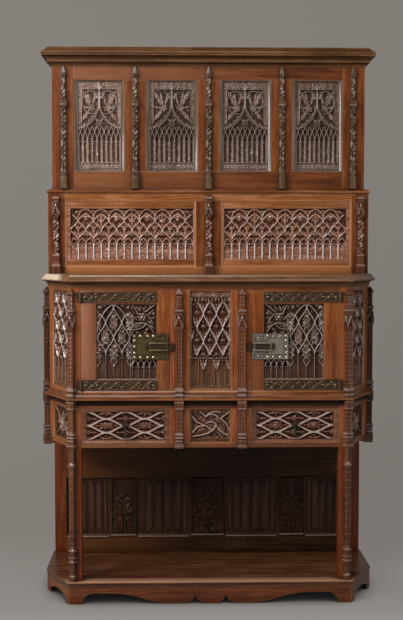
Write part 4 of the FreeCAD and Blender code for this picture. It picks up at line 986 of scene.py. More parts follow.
class Shaft:
    """A square shaft worked all round: a table of cuts wrapped round an upright axis."""

    def __init__(self, profile: list[Point], roundness: float = 0.0, points: int = 9,
                 pitch: float = 2.2) -> None:
        """Lays out a plain shaft.

        Args:
            profile: (height, half width) points from its foot to its tip.
            roundness: from 0, square, to 1, round.
            points: how many points lie across each of its four faces.
            pitch: how far apart its levels lie.
        """
        heights = [point[0] for point in profile]
        levels = np.arange(heights[0], heights[-1], pitch)
        self.v = np.unique(np.concatenate([levels, heights]))
        self.half = np.interp(self.v, heights, [point[1] for point in profile])
        self.share = np.tile(np.linspace(-1, 1, points, endpoint=False), 4)
        side = np.repeat(np.arange(4), points) * math.pi / 2
        self.ring = np.stack([np.cos(side) - self.share * np.sin(side),
                              np.sin(side) + self.share * np.cos(side)], axis=1)
        length = np.hypot(self.ring[:, 0], self.ring[:, 1])
        self.ring = self.ring / length[:, None] * (length + (1 - length) * roundness)[:, None]
        self.cut = np.zeros((len(self.v), len(self.share)))
        self.painted_highlight = np.zeros((len(self.v), len(self.share)))

    def paint_highlight_rings(self, *spans: Point) -> None:
        """Paints highlights on the rings between pairs of heights."""
        for low, high in spans:
            self.painted_highlight += self._span(low, high) * 0.2

    def _span(self, low: float, high: float) -> np.ndarray:
        """Which levels lie between two heights, as a column of ones and zeros."""
        return ((self.v >= low) & (self.v <= high)).astype(float)[:, None]

    def leaves(self, low: float, high: float, pitch: float, depth: float) -> None:
        """Cuts overlapping leaves that point upwards."""
        saw = ((self.v[:, None] - low) / pitch + 0.55 * np.abs(self.share)[None]) % 1.0
        vein = 0.35 * np.exp(-(self.share / 0.18) ** 2)[None]
        self.cut += self._span(low, high) * depth * np.clip(saw ** 1.6 + vein, 0, 1.1)
        # Painted highlight on the leaf tips.
        self.painted_highlight += self._span(low, high) * 0.45 * np.clip(1 - saw / 0.3, 0, 1)

    def beads(self, low: float, high: float, pitch: float, depth: float) -> None:
        """Sinks each face between two edge fillets, round a row of small beads."""
        away = ((self.v[:, None] - low) % pitch) - pitch / 2
        bead = 1.1 * np.exp(-(away / 3.6) ** 2 - (self.share / 0.34)[None] ** 2)
        sunk = np.clip((0.85 - np.abs(self.share)) / 0.2, 0, 1)[None]
        self.cut += self._span(low, high) * depth * np.clip(sunk - bead, 0, 1)
        # Painted highlight on the beads.
        self.painted_highlight += self._span(low, high) * 0.22 * np.clip(bead, 0, 1)

    def _uneven(self, size: float) -> np.ndarray:
        """Seeded unevenness, some millimetres across, all round the shaft."""
        rows = max(2, round((self.v[-1] - self.v[0]) / size))
        coarse = np.random.default_rng(rows).normal(0, 1, (rows, len(self.share) // 3))
        level = np.interp(self.v, np.linspace(self.v[0], self.v[-1], rows), np.arange(rows))
        under = np.minimum(level.astype(int), rows - 2)
        part = (level - under)[:, None]
        return np.repeat(coarse[under] * (1 - part) + coarse[under + 1] * part, 3, axis=1)

    def knots(self, low: float, high: float, pitch: float, depth: float) -> None:
        """Cuts a knotted stem, whose leaves bulge to one side and then to the other."""
        turn = np.arctan2(self.ring[:, 1], self.ring[:, 0])[None]
        run = 2 * np.pi * (self.v[:, None] - low) / pitch
        wave = np.clip(0.5 + 0.22 * np.cos(turn + run) + 0.15 * np.cos(3 * turn - 2.6 * run)
                       + 0.3 * self._uneven(7.0), 0, 1.1)
        self.cut += self._span(low, high) * depth * wave
        # Painted highlight on the bulging leaves.
        self.painted_highlight += self._span(low, high) * 0.5 * np.clip(0.4 - wave, 0, 1) / 0.4

    def hood(self, low: float, high: float, depth: float) -> None:
        """Cuts the faces back under a steep gable, whose two slopes get a painted highlight."""
        climb = np.clip((self.v[:, None] - low) / (high - low), 0, 1)
        reach = np.abs(self.share)[None]
        edge = 1.05 - climb
        band = np.clip(1 - np.abs(reach - edge + 0.16) / 0.18, 0, 1)
        under = np.clip((edge - 0.3 - reach) / 0.1, 0, 1)
        outside = np.clip((reach - edge) / 0.12, 0, 1)
        self.cut += self._span(low, high) * depth * np.clip(outside + 0.8 * under, 0, 1)
        self.painted_highlight += self._span(low, high) * 0.35 * band

    def tracery(self, low: float, high: float, depth: float) -> None:
        """Sinks a cusped light into each face."""
        up = (self.v[:, None] - low) / (high - low)
        edge = 0.62 * np.where(up > 0.75, np.clip((1 - up) / 0.25, 0, 1) ** 0.6, 1.0)
        sunk = np.clip((edge - np.abs(self.share)[None]) / 0.15, 0, 1)
        self.cut += self._span(low, high) * depth * sunk

    def stand(self, name: str, spot: Point, finish: WaxedOak, node: str, turn: float = 0.0) -> None:
        """Makes the shaft, with painted shade in its cuts and its painted highlights as an
        attribute, and hangs it on the carcass.

        Args:
            name: the object's name.
            spot: where its axis stands.
            finish: its finish.
            node: the node that it stands for.
            turn: how far it is turned, in degrees.
        """
        size = np.maximum(self.half[:, None] - self.cut, 0.15 * self.half[:, None])
        lean = math.radians(turn)
        x = self.ring[:, 0] * math.cos(lean) - self.ring[:, 1] * math.sin(lean)
        y = self.ring[:, 0] * math.sin(lean) + self.ring[:, 1] * math.cos(lean)
        places = np.stack([spot[0] + size * x, spot[1] + size * y,
                           np.repeat(self.v[:, None], len(x), axis=1)], axis=-1)
        places = np.concatenate([places, places[:, :1]], axis=1)
        made = shaped_grid(name, places)
        # Relief colour: cuts darken it as painted shade, and the painted highlights pale it.
        height = np.clip(0.62 - self.cut / 9 + self.painted_highlight, 0, 1)
        height = np.concatenate([height, height[:, :1]], axis=1)
        relief = made.data.attributes.new("relief", "FLOAT", "POINT")
        relief.data.foreach_set("value", height.astype(np.float32).ravel())
        hand_over(close_mesh(made), finish, node=node, angle=SHAFT_ANGLE)


def offset_plan(plan: list[Point], out: float) -> np.ndarray:
    """Moves a plan outwards, with mitred corners.

    Args:
        plan: its points from the left back round the front to the right back.
        out: how far.

    Returns:
        The moved points.
    """
    points = np.array(plan, float)
    runs = np.diff(points, axis=0)
    runs /= np.hypot(runs[:, 0], runs[:, 1])[:, None]
    normals = np.stack([runs[:, 1], -runs[:, 0]], axis=1)
    before = np.vstack([normals[:1], normals])
    after = np.vstack([normals, normals[-1:]])
    mitre = (before + after) / (1 + (before * after).sum(axis=1))[:, None]
    return points + out * mitre


def run_of_mould(name: str, plan: list[Point], section: list[Point], finish: WaxedOak,
                 node: str) -> None:
    """Runs a moulding round a plan, with mitred corners, in place of a node.

    Args:
        name: the object's name.
        plan: the plan's points, as for offset_plan.
        section: (distance out, height) points round the moulding's section.
        finish: its finish.
        node: the node that it stands for.
    """
    rings = np.zeros((len(plan), len(section), 3))
    for number, (out, up) in enumerate(section):
        rings[:, number, :2] = offset_plan(plan, out)
        rings[:, number, 2] = up
    hand_over(swept(name, rings), finish, node=node, angle=MOULD_ANGLE)


def curve(*points: Point, steps: int = 6) -> list[Point]:
    """Points of a moulding's curve, from its four control points."""
    return [tuple(point) for point in bend(*points, steps=steps)]


def hollow(low: Point, high: Point) -> list[Point]:
    """A cove's points between its foot and its top."""
    return curve(low, (low[0], low[1] + 0.65 * (high[1] - low[1])),
                 (low[0] + 0.4 * (high[0] - low[0]), high[1]), high, steps=7)


def nail_heads(name: str, spots: list[Place], radius: float, stand: float = 3.6) -> Piece:
    """Domed nail heads on a front face.

    Args:
        name: the object's name.
        spots: their centres on the face.
        radius: in millimetres.
        stand: how far they stand out.

    Returns:
        The joined heads.
    """
    profile = [(0.0, stand), (0.5 * radius, 0.86 * stand), (0.87 * radius, 0.5 * stand),
               (radius, 0.1 * stand), (radius, -0.8), (0.0, -0.8)]
    heads = [turned(name, profile, spot, (0, -1, 0), 10) for spot in spots]
    return joined(name, heads)


CANT_RUN = (120.0, 216.5)
CANT_LENGTH = math.hypot(*CANT_RUN)
CANT_ACROSS = (CANT_RUN[0] / CANT_LENGTH, CANT_RUN[1] / CANT_LENGTH)
FRONT_CORNER = (562.0, -209.0)


class Hand(Enum):
    """The left and right of the piece, as the sign of X."""

    LEFT = -1
    RIGHT = 1

    def named(self, name: str) -> str:
        """Adds the hand to a name."""
        return f"{name}_{self.name.lower()}"

    def face(self, x: float, y: float, z: float) -> Face:
        """A front face that starts at a distance from the middle and runs outwards."""
        return Face((self.value * x, y, z), (self.value, 0.0))

    def cant(self, along: float, back: float, z: float) -> Face:
        """A face on the cant, from a distance along it and behind its face."""
        x = FRONT_CORNER[0] + CANT_ACROSS[0] * along - CANT_ACROSS[1] * back
        y = FRONT_CORNER[1] + CANT_ACROSS[1] * along + CANT_ACROSS[0] * back
        return Face((self.value * x, y, z), (self.value * CANT_ACROSS[0], CANT_ACROSS[1]),
                    (self.value * CANT_ACROSS[1], -CANT_ACROSS[0]))


@dataclass
class Framed:
    """The sloped and beaded surround of a carved board, set back in its frame."""

    side_slope: float = 8.0
    end_slope: float = 8.0
    depth: float = 14.0
    finish: WaxedOak = MOULD_OAK

    def fit(self, name: str, face: Face, width: float, height: float,
            body: str = "carcass") -> None:
        """Fits the surround in an opening.

        Args:
            name: the object's name.
            face: the opening's foot at the frame's face.
            width: of the opening.
            height: of the opening.
            body: the body that it rides on.
        """
        low, bead = -0.62 * self.depth, -0.5 * self.depth
        section = np.array([
            (0, -0.4), (0.12, -0.6), (0.3, -1.4), (0.72, low), (0.8, bead), (0.92, bead),
            (1.0, low), (1.0, -self.depth - 1), (0, -self.depth - 1)])
        rings = []
        for across, up in ((0, 0), (1, 0), (1, 1), (0, 1)):
            u, v = section[:, 0] * self.side_slope, section[:, 0] * self.end_slope
            rings.append(face.place(width - u if across else u, height - v if up else v,
                                    section[:, 1]))
        around = swept(name, np.array(rings), closed=True)
        hand_over(around, self.finish, body=body, angle=MOULD_ANGLE)


@dataclass
class Stage:
    """The plinth, the platform, the posts and the panelled back of the open stage."""

    face_y: float = 205.0
    panel_low: float = 166.0
    panel_high: float = 428.0
    folds: int = 5
    fold_margin: float = 14.0
    centre_half: float = 78.0
    outer_muntin: Point = (315.5, 436.5)
    end: float = 632.0
    column_turn: float = 30.5
    column_forward: float = 0.5
    column_ring: float = 17.0
    column_core: float = 12.5

    def build(self) -> None:
        """Builds the stage."""
        dress_each(
            ("plinth_front_apron", APRON_OAK, 0.0), ("plinth_returns", APRON_OAK, 0.0),
            ("platform_board", PLATFORM_OAK, 1.6), ("front_posts", POST_OAK, 1.4),
            ("corner_posts", POST_OAK, 1.0), ("rear_posts", POST_OAK, 0.0),
            ("stage_back_rails", STAGE_OAK, 1.0), ("tier_soffit", STAGE_OAK, 1.0),
            ("carcass_back_boards", INNER_UPRIGHT, 0.0))
        for hand in Hand:
            self.linen(hand, "linen_inner", self.centre_half, self.outer_muntin[0])
            self.linen(hand, "linen_outer", self.outer_muntin[1], self.end)
        self.centre_muntin()
        for hand in Hand:
            self.side_muntin(hand)
        self.sills()
        for hand in Hand:
            self.colonnette(hand)

    def linen(self, hand: Hand, name: str, low: float, high: float) -> None:
        """One panel of folded linen.

        Args:
            hand: the side that it stands on.
            name: its name.
            low: how far from the middle it starts.
            high: how far from the middle it ends.
        """
        width, height = high - low, self.panel_high - self.panel_low
        cut = Carving(width, height, 1.9)
        u, v = np.meshgrid(cut.u, cut.v)
        share = (u - self.fold_margin) / (width - 2 * self.fold_margin)
        phase = share * self.folds
        wave = np.abs(((phase + 0.5) % 1.0) - 0.5) * 2
        ridge = 1 - wave ** 1.6
        groove = 0.45 * np.exp(-((wave - 0.32) / 0.09) ** 2)
        step = np.floor(np.abs(phase - self.folds / 2) + 0.5) % 2
        end = 17 + 9 * step + 12 * np.abs(share - 0.5)
        inside = (share > 0) & (share < 1) & (v > end) & (v < height - end)
        hem = 0.8 * (np.exp(-((v - end - 4) / 2.0) ** 2)
                     + np.exp(-((height - end - 4 - v) / 2.0) ** 2))
        cut.h = np.where(inside, 1.2 + 5.4 * ridge - 2.6 * groove - 1.2 * hem, 3.0)
        edge = np.minimum(np.minimum(u, width - u), np.minimum(v, height - v))
        cut.h += 4.5 * np.clip(1 - edge / 6, 0, 1)
        face = hand.face(low, self.face_y + 14, self.panel_low)
        cut.board(hand.named(name), face, (8, 9, 9), CARVED_STAGE, "linenfold_panels", "oak_board")

    def muntin_field(self, width: float, fillet: float, seed: int) -> Carving:
        """A muntin's field with a fillet round it, from its width, its fillet's and a seed."""
        height = self.panel_high - self.panel_low
        cut = Carving(width, height, 1.9, seed)
        cut.border((fillet, 6), (width - fillet, height - 6), fillet, 8)
        cut.raise_ground((0, 0), (width, height), 2.6)
        return cut

    def set_muntin(self, cut: Carving, name: str, hand: Hand, start: float) -> None:
        """Sets a carved muntin in the back, from a distance from the middle outwards."""
        cut.gouged(0.3)
        face = hand.face(start, self.face_y + 9.5, self.panel_low)
        cut.board(name, face, (16, 9, 9.2), CARVED_STAGE, "stage_back_muntins")

    def centre_muntin(self) -> None:
        """The middle muntin: a leafy spray under a pointed arch."""
        middle = self.centre_half
        cut = self.muntin_field(2 * middle, 8, seed=3)
        cut.ribs(pointed(24, 2 * middle - 24, 110, 78), 6, 6.5)
        for side in SIDES:
            cut.rib(bend((middle, 14), (middle + side * 10, 60), (middle + side * 34, 80),
                         (middle + side * 36, 120), steps=12), 6, 8)
            cut.rosette((middle + side * 40, 128), 11, 5, 9)
        cut.spray((middle, 0), tuple((*stroke, 17, 8.5) for stroke in (
            (10, 50, 48, 66), (24, 84, 56, 96), (30, 112, 44, 140), (6, 88, 30, 112),
            (4, 124, 26, 150), (12, 20, 44, 34), (34, 96, 14, 108))))
        cut.rosette((middle, 162), 15, 6, 9)
        for number in range(7):
            cut.leaf((30 + number * 16, 10), (30 + number * 16, 26), 10, 8)
        self.set_muntin(cut, "stage_muntin_centre", Hand.RIGHT, -middle)

    def side_muntin(self, hand: Hand) -> None:
        """A side muntin: two stems that cross, with leaves and three flowers."""
        low, high = self.outer_muntin
        cut = self.muntin_field(high - low, 7, seed=4)
        middle = (high - low) / 2
        for side in SIDES:
            cut.rib(bend((middle + side * 10, 24), (middle - side * 4, 70),
                         (middle + side * 10, 110), (middle + side * 30, 150), steps=14), 7, 8.5)
            cut.rosette((middle + side * 26, 160), 13, 5, 9)
        cut.spray((middle, 0), tuple((4, rise, reach, rise + 26, 22, 8.5) for rise, reach in (
            (92, 44), (122, 40), (150, 34), (60, 30))))
        cut.rosette((middle, 182), 17, 6, 9)
        self.set_muntin(cut, hand.named("stage_muntin"), hand, low)

    def sills(self) -> None:
        """The small sills at the foot of each panel and muntin."""
        front, back = self.face_y - 6.5, self.face_y + 0.2
        sills = [block("sill", (low, front, up), (high, back, up + 4.5), 1.5)
                 for low, high, up in (
                     (-626, -440, 161), (-312, -82, 161), (82, 312, 161), (440, 626, 161),
                     (-432, -320, 167), (-74, 74, 167), (320, 432, 167))]
        hand_over(joined("stage_sills", sills), SILL_OAK)

    def colonnette(self, hand: Hand) -> None:
        """A slim beaded column on a front post."""
        wide, slim = self.column_ring, self.column_core
        shaft = Shaft([
            (90, slim + 2), (112, slim + 2), (116, slim), (166, slim), (169, wide), (175, wide),
            (178, slim + 1), (184, slim + 1), (187, wide), (193, wide), (196, slim), (212, slim),
            (215, wide - 0.5), (222, wide - 0.5), (226, slim), (560, slim), (566, slim + 3.5),
            (574, slim + 3.5), (580, slim + 1), (641, slim + 1)], roundness=0.55)
        shaft.beads(232, 556, 32, 2.4)
        shaft.beads(119, 164, 32, 2.0)
        shaft.tracery(582, 636, 2.2)
        shaft.paint_highlight_rings((169, 175), (187, 193), (215, 222), (566, 574), (108, 116))
        lean = math.radians(self.column_turn)
        spot = (hand.value * (FRONT_CORNER[0] + self.column_forward * math.sin(lean)),
                FRONT_CORNER[1] - self.column_forward * math.cos(lean))
        shaft.stand(hand.named("colonnette"), spot, POST_SHAFT, "colonnettes",
                    hand.value * self.column_turn)


@dataclass
class Cabinet:
    """The framing, panels, mouldings and buttresses of the drawer tier and the cabinet tier."""

    face_y: float = FRONT_CORNER[1]
    drawer_low: float = 657.0
    drawer_high: float = 802.0
    door_low: float = 876.0
    door_high: float = 1284.0
    centre_half: float = 85.0
    cant_stile: float = 40.0
    set_back: float = 14.0
    plan: list[Point] = field(default_factory=lambda: [
        (-682, 235), (-682, 7.5), (-562, -209), (562, -209), (682, 7.5), (682, 235)])

    def build(self) -> None:
        """Builds both tiers."""
        dress_each(
            ("front_rails", FRAME_ACROSS, 1.0), ("centre_stiles", STILE_OAK, 1.0),
            ("return_rails", FRAME_LEVEL, 1.0), ("side_panels", FRAME_UPRIGHT, 1.0),
            ("cabinet_floor", INNER_OAK, 1.0), ("drawer_runners", INNER_OAK, 1.0))
        self.string_course()
        self.worktop()
        self.centre_panel()
        self.frieze_panel()
        for hand in Hand:
            self.cant_panels(hand)
            self.buttresses(hand)

    def string_course(self) -> None:
        """The cove and the string course at the waist."""
        run_of_mould("string_cove", self.plan, [
            (-2, 814), (2, 814), *hollow((2, 815), (22, 836)), (24, 837), (-2, 837)],
            COVE_OAK, "string_mould")
        run_of_mould("string_course", self.plan, [
            (-2, 837), (24, 837), (26, 839), (26, 842), (24.5, 843.5),
            *curve((24.5, 843.5), (16, 848), (11, 852), (9.5, 858)),
            (8.5, 860), (8.5, 863), (6, 865), (2.5, 868), (1, 876), (-2, 876)],
            MOULD_OAK, "string_mould")

    def worktop(self) -> None:
        """The bed mould, and the worktop with its moulded edge."""
        run_of_mould("worktop_hollow", self.plan, [
            (-2, 1297), (2, 1297), *hollow((2, 1298), (22, 1317)), (24, 1318), (24, 1321),
            (-2, 1321)], CORNICE_OAK, "worktop_bed_mould")
        run_of_mould("worktop_edge", self.plan, [
            (-40, 1322), (24, 1321), (26, 1322), (26, 1326), (24.5, 1327.5),
            *curve((24, 1328), (20, 1333), (14, 1335), (11.5, 1341)),
            (11, 1343), (9.5, 1345), (-40, 1345)], WORKTOP_OAK, "worktop")
        within = offset_plan(self.plan, -38)
        board = np.array([[(x, y, up) for x, y in within] for up in (1321.5, 1344.8)])
        hand_over(swept("worktop_board", board), WORKTOP_OAK, node="worktop")

    def centre_panel(self) -> None:
        """The fixed panel between the doors: a net of ogees over five lancets."""
        Framed(4.5, 10.0).fit("centre_surround",
                              Face((-self.centre_half, self.face_y, self.door_low)),
                              2 * self.centre_half, self.door_high - self.door_low)
        width, height = 162.0, 396.0
        cut = Carving(width, height, 1.4, seed=11)
        cut.raise_ground((0, 0), (width, 84), 2.2, 50)
        cut.raise_ground((0, height - 20), (width, height), 5.0)
        cut.lancets(2, width - 2, 5, 12, 112, 30, 4.0, 6.6, 10)
        cells = cut.net((26.3, 135), (52.7, 114), 5, 138, 352, 10.0, 8.8)
        for tip in cells + [(width - 2, 192), (0, 192)]:
            cut.calyx(tip, (50, 112), 8.8)
        for x in (2, width - 2):
            cut.rib([(x, 120), (x, 372)], 5, 7)
        cut.rib([(0, 373), (width, 373)], 5, 7.5)
        for number in range(12):
            cut.leaf((7 + number * 13.5, 354), (7 + number * 13.5, 372), 12, 7.5)
        for number in range(5):
            cut.spray((17.8 + number * 31.6, 0), (
                (0, 126, 14, 121, 9, 8.5), (3, 4, 15, 15, 9, 7.0)))
        cut.gouged(0.3, 5.0, 115)
        face = Face((-width / 2, self.face_y + self.set_back, self.door_low + 6))
        cut.board("centre_panel", face, (10, 8, 9), CARVED, "cabinet_centre_panel")

    def frieze_panel(self) -> None:
        """The square panel between the drawers: four mouchettes whirling round a rosette."""
        Framed().fit("frieze_surround", Face((-self.centre_half, self.face_y, self.drawer_low)),
                     2 * self.centre_half, self.drawer_high - self.drawer_low)
        cut = Carving(158, 131, 1.4, seed=12)
        u, v = np.meshgrid(cut.u, cut.v)
        cut.h = 1.3 + 1.3 * np.sin((u + v) * 0.62) * np.sin((u - v) * 0.62)
        for foot, tip, wide in (((62, 78), (26, 108), 34), ((62, 56), (14, 34), 30),
                                ((96, 88), (140, 84), 34), ((100, 56), (146, 40), 26),
                                ((76, 98), (100, 116), 18), ((66, 44), (96, 40), 20)):
            cut.leaf(foot, tip, wide, 5.6)
            cut.leaf(foot, ((foot[0] + 2 * tip[0]) / 3, (foot[1] + 2 * tip[1]) / 3),
                     0.45 * wide, 7.0)
        for path in (((37, 124), (60, 102), (76, 118), (98, 124), (122, 120)),
                     ((60, 102), (71, 112), (88, 112), (103, 107), (116, 94)),
                     ((157, 123), (128, 101), (121, 94), (143, 76), (159, 44)),
                     ((4, 104), (26, 80), (58, 65)),
                     ((6, 38), (26, 60), (49, 66), (60, 66), (76, 53), (90, 50)),
                     ((62, 76), (80, 83), (98, 76), (106, 63), (116, 47), (136, 32), (154, 26)),
                     ((101, 65), (90, 47), (71, 35), (38, 26), (8, 22))):
            cut.rib(eased(path), 11.5, 10.5, 0.2)
        cut.rosette((80, 68), 12, 6, 8)
        cut.border((1, 10), (157, 129), 6, 6)
        cut.gouged(0.35, 5.0)
        face = Face((-79, self.face_y + self.set_back, self.drawer_low + 7))
        cut.board("frieze_panel", face, (10, 8, 9.5), CARVED_ACROSS, "frieze_centre_panel")

    def cant_panels(self, hand: Hand) -> None:
        """The two carved panels of one cant."""
        width = CANT_LENGTH - 2 * self.cant_stile
        for z, top, level, draw in (
                (self.drawer_low, self.drawer_high, "low", self._whirl),
                (self.door_low, self.door_high, "high", self._foliage)):
            Framed(9.0, 9.0).fit(hand.named(f"cant_surround_{level}"),
                                 hand.cant(self.cant_stile, 0, z), width, top - z)
            cut = Carving(width - 16, top - z - 16, 1.9, seed=13)
            draw(cut)
            cut.gouged(0.4)
            face = hand.cant(self.cant_stile + 8, self.set_back, z + 8)
            cut.board(hand.named(f"cant_panel_{level}"), face, (10, 8, 9.5), CARVED, "cant_panels")

    def _whirl(self, cut: Carving) -> None:
        """Draws a rosette and its leaves on crossing stems."""
        middle = (cut.width / 2, cut.height / 2)
        right, top = cut.width - 2, cut.height - 2
        cut.ribs([bend((2, 2), (40, 40), (100, 90), (right, top)),
                  bend((2, top), (40, 90), (100, 40), (right, 2))], 8, 7)
        cut.rosette(middle, 26, 6, 9)
        cut.star(middle, (0, 30, 90, 120, 180, 210, 270, 300), (62, 52), 26, 8.6)

    def _foliage(self, cut: Carving) -> None:
        """Draws a net of foliage over a row of lancets."""
        cell = (cut.width / 2 - 2, 112.0)
        cut.raise_ground((0, 0), (cut.width, 70), 3.0, 40)
        cut.lancets(2, cut.width - 2, 4, 10, 92, 32, 5.0, 7.5, 9)
        for tip in cut.net((2, 60), cell, 4, 118, cut.height - 14, 7.5, 7.2):
            if tip[1] > 70:
                cut.calyx(tip, cell, 9.2)
        cut.rib([(0, cut.height - 6), (cut.width, cut.height - 6)], 8, 8)

    def buttresses(self, hand: Hand) -> None:
        """The inner, front-corner and rear-corner buttresses of one hand."""
        for name, node, x, y, turn, low, finish in (
                ("buttress_inner", "inner_buttresses", 128.0, -214.5, 0.0, 641.0, SHAFT_OAK),
                ("buttress_corner", "corner_buttresses", 562.25, -209.43, 30.5, 641.0, SHAFT_OAK),
                ("buttress_rear", "rear_buttresses", 687.3, 6.1, 75.5, 623.0, REAR_SHAFT)):
            self.buttress(low).stand(hand.named(name), (hand.value * x, y), finish, node,
                                     hand.value * turn)

    def buttress(self, low: float) -> Shaft:
        """A buttress with a turned foot, a beaded shaft, a set-off and a leafy pinnacle."""
        full, core = 18.3, 12.8
        shaft = Shaft([
            (low, full - 1), (low + 3, full), (657, full), (660, 15), (668, 16.5), (674, core),
            (679, core), (681, 17), (687, 17), (690, 14), (694, 17), (701, 17), (705, core),
            (797, core), (800, 17), (805, 17), (809, full), (842, full), (846, 15), (851, 13.5),
            (854, 17.5), (862, 17.5), (866, 14), (874, 17.5), (886, 17.5), (890, core),
            (1118, core), (1136, full - 1), (1140, full), (1184, full - 2), (1188, core),
            (1197, core), (1199, 17), (1206, 17), (1209, core - 1), (1262, core - 2.5),
            (1266, 15), (1271, 15), (1290, 3.0), (1292, 1.5)])
        shaft.beads(708, 794, 17, 1.9)
        shaft.beads(894, 1118, 17, 1.9)
        shaft.hood(1138, 1186, 4.6)
        shaft.leaves(1211, 1261, 17, 2.0)
        shaft.paint_highlight_rings((681, 687), (694, 701), (800, 805), (826, 832), (854, 862), (874, 886),
                     (1199, 1206), (low + 8, low + 12))
        return shaft


@dataclass
class Gallery:
    """The two panelled tiers over the worktop, the cap between them and the cornice."""

    low_y: float = 29.0
    high_y: float = 45.0
    low_foot: float = 1375.0
    low_height: float = 279.0
    low_start: float = 54.0
    low_width: float = 556.0
    high_foot: float = 1780.0
    high_height: float = 385.0
    lancet: float = 32.56
    lancets: int = 16
    net_left: float = 4.2
    net_foot: float = 25.8
    net_height: float = 214.6
    margin_height: float = 9.2
    low_plan: list[Point] = field(default_factory=lambda: [
        (-682, 235), (-682, 29), (682, 29), (682, 235)])
    high_plan: list[Point] = field(default_factory=lambda: [
        (-665, 235), (-665, 45), (665, 45), (665, 235)])

    def build(self) -> None:
        """Builds the gallery."""
        dress_each(
            ("gradin_stiles", FRAME_UPRIGHT, 1.0), ("gradin_rails", GRADIN_OAK, 1.0),
            ("upper_stiles", FRAME_UPRIGHT, 1.0), ("upper_rails", FRAME_ACROSS, 1.0),
            ("gallery_ends", FRAME_UPRIGHT, 0.0), ("gallery_back_boards", INNER_UPRIGHT, 0.0),
            ("cornice_board", INNER_OAK, 0.0))
        for hand in Hand:
            self.gradin_panel(hand)
            self.upper_panel(hand, 44.5, 267.25, "inner")
            self.upper_panel(hand, 356.25, 571.0, "outer")
        self.mouldings()
        self.pinnacles()

    def gradin_panel(self, hand: Hand) -> None:
        """One long panel: a net of ogees over sixteen lancets."""
        Framed(8.0, 6.0, 5.0, GRADIN_OAK).fit(
            hand.named("gradin_surround"), hand.face(self.low_start, self.low_y, self.low_foot),
            self.low_width, self.low_height)
        start, foot = self.low_start + 8, self.low_foot + 6
        ends = sorted((hand.value * start, hand.value * (start + 540)))
        for level, low, high in (("foot", foot, 1406.6), ("head", 1621.6, 1648.0)):
            strip = block(hand.named(f"gradin_{level}"), (ends[0], self.low_y + 4.4, low),
                          (ends[1], self.low_y + 20, high), 1.2)
            hand_over(strip, GRADIN_OAK)
        cut = Carving(540.0, 267.0, 1.7, seed=21)
        self._low_lights(cut)
        self._low_net(cut)
        left, low = self.net_left, self.net_foot
        right, top = left + self.lancets * self.lancet, low + self.net_height
        cut.raise_ground((left, low), (right, low + 40), 4.2, 30)
        u, v = np.meshgrid(cut.u, cut.v)
        outside = (u < left) | (u > right) | (v < low) | (v > top)
        cut.h = np.where(outside, self.margin_height, np.minimum(cut.h, 9.0))
        cut.gouged(0.3, 5.0)
        cut.h = np.where(outside, self.margin_height, cut.h)
        cut.board(hand.named("gradin_panel"), hand.face(start, self.low_y + 14, foot),
                  (9, self.margin_height, self.margin_height), GRADIN_CARVED, "gradin_panels",
                  plain=outside)

    def _low_lights(self, cut: Carving) -> None:
        """Draws the row of lancets at the foot of a long panel."""
        foot, pitch = self.net_foot, self.lancet
        for number in range(self.lancets):
            x = self.net_left + number * pitch
            if number:
                cut.rib([(x, foot), (x, foot + 58)], 15, 8.8)
            cut.ribs(pointed(x, x + pitch, foot + 52, 36), 10, 7.3, 0.15)
            for side, edge in ((1, x), (-1, x + pitch)):
                cut.rib([(edge, foot + 62), (edge + side * 12, foot + 64)], 7, 8.0)

    def _low_net(self, cut: Carving) -> None:
        """Draws the net of a long panel, with its arches, flowers and leaves."""
        foot, pitch = self.net_foot, self.lancet
        cut.net((self.net_left, foot + 47), (2 * pitch, 77), self.lancets, foot + 84, foot + 186,
                11, 7.3)
        for number in range(1, self.lancets):
            x = self.net_left + number * pitch
            if number % 2:
                cut.leaf((x, foot + 92), (x, foot + 150), 16, 8.0)
                cut.rosette((x, foot + 132), 10, 4, 8.8)
                cut.spray((x, foot), ((0, 92, 21, 122, 13, 8.2), (0, 118, 14, 148, 10, 7.6),
                                      (0, 160, 10, 184, 9, 7.4), (0, 206, 16, 194, 10, 7.0)))
                continue
            cut.ribs(pointed(x - pitch, x + pitch, foot + 170, 42), 11, 7.3, 0.15)
            if number % 4:
                cut.rosette((x, foot + 180), 19, 4, 8.5)
                cut.rosette((x, foot + 180), 9, 4, 9)
            else:
                cut.leaf((x, foot + 136), (x, foot + 208), 17, 9.0)
                cut.spray((x, foot), ((0, 150, 20, 184, 11, 8.0),))
            cut.rosette((x, foot + 108), 9, 4, 8.5)
            cut.spray((x, foot), ((0, 128, 20, 158, 12, 8.0), (4, 98, 15, 112, 9, 7.5),
                                  (6, 142, 24, 136, 10, 7.0), (0, 196, 18, 172, 11, 7.5)))

    def upper_panel(self, hand: Hand, low: float, high: float, name: str) -> None:
        """One upper panel: an ogee arch with a fleuron over crossing lancets.

        Args:
            hand: the side that it stands on.
            low: how far from the middle its opening starts.
            high: how far from the middle its opening ends.
            name: which of the two panels of that side it is.
        """
        Framed(18.0, 6.0, 13.0, CHAMFER_OAK).fit(
            hand.named(f"upper_surround_{name}"), hand.face(low, self.high_y, self.high_foot),
            high - low, self.high_height)
        cut = Carving(high - low - 34, self.high_height - 10, 1.4, seed=31)
        self._high_lights(cut)
        self._high_arch(cut)
        self._high_hubs(cut, crossed=hand is Hand.LEFT and name == "inner")
        cut.gouged(0.22, 5.0)
        face = hand.face(low + 17, self.high_y + 15, self.high_foot + 5)
        # Painted light: the left outer panel gets the lit copy of the finish, the others the shaded
        # copy.
        finish = LIT_UPPER_CARVED if hand is Hand.LEFT and name == "outer" else SHADED_UPPER_CARVED
        cut.board(hand.named(f"upper_panel_{name}"), face, (9, 9, 10.5), finish, "upper_panels")

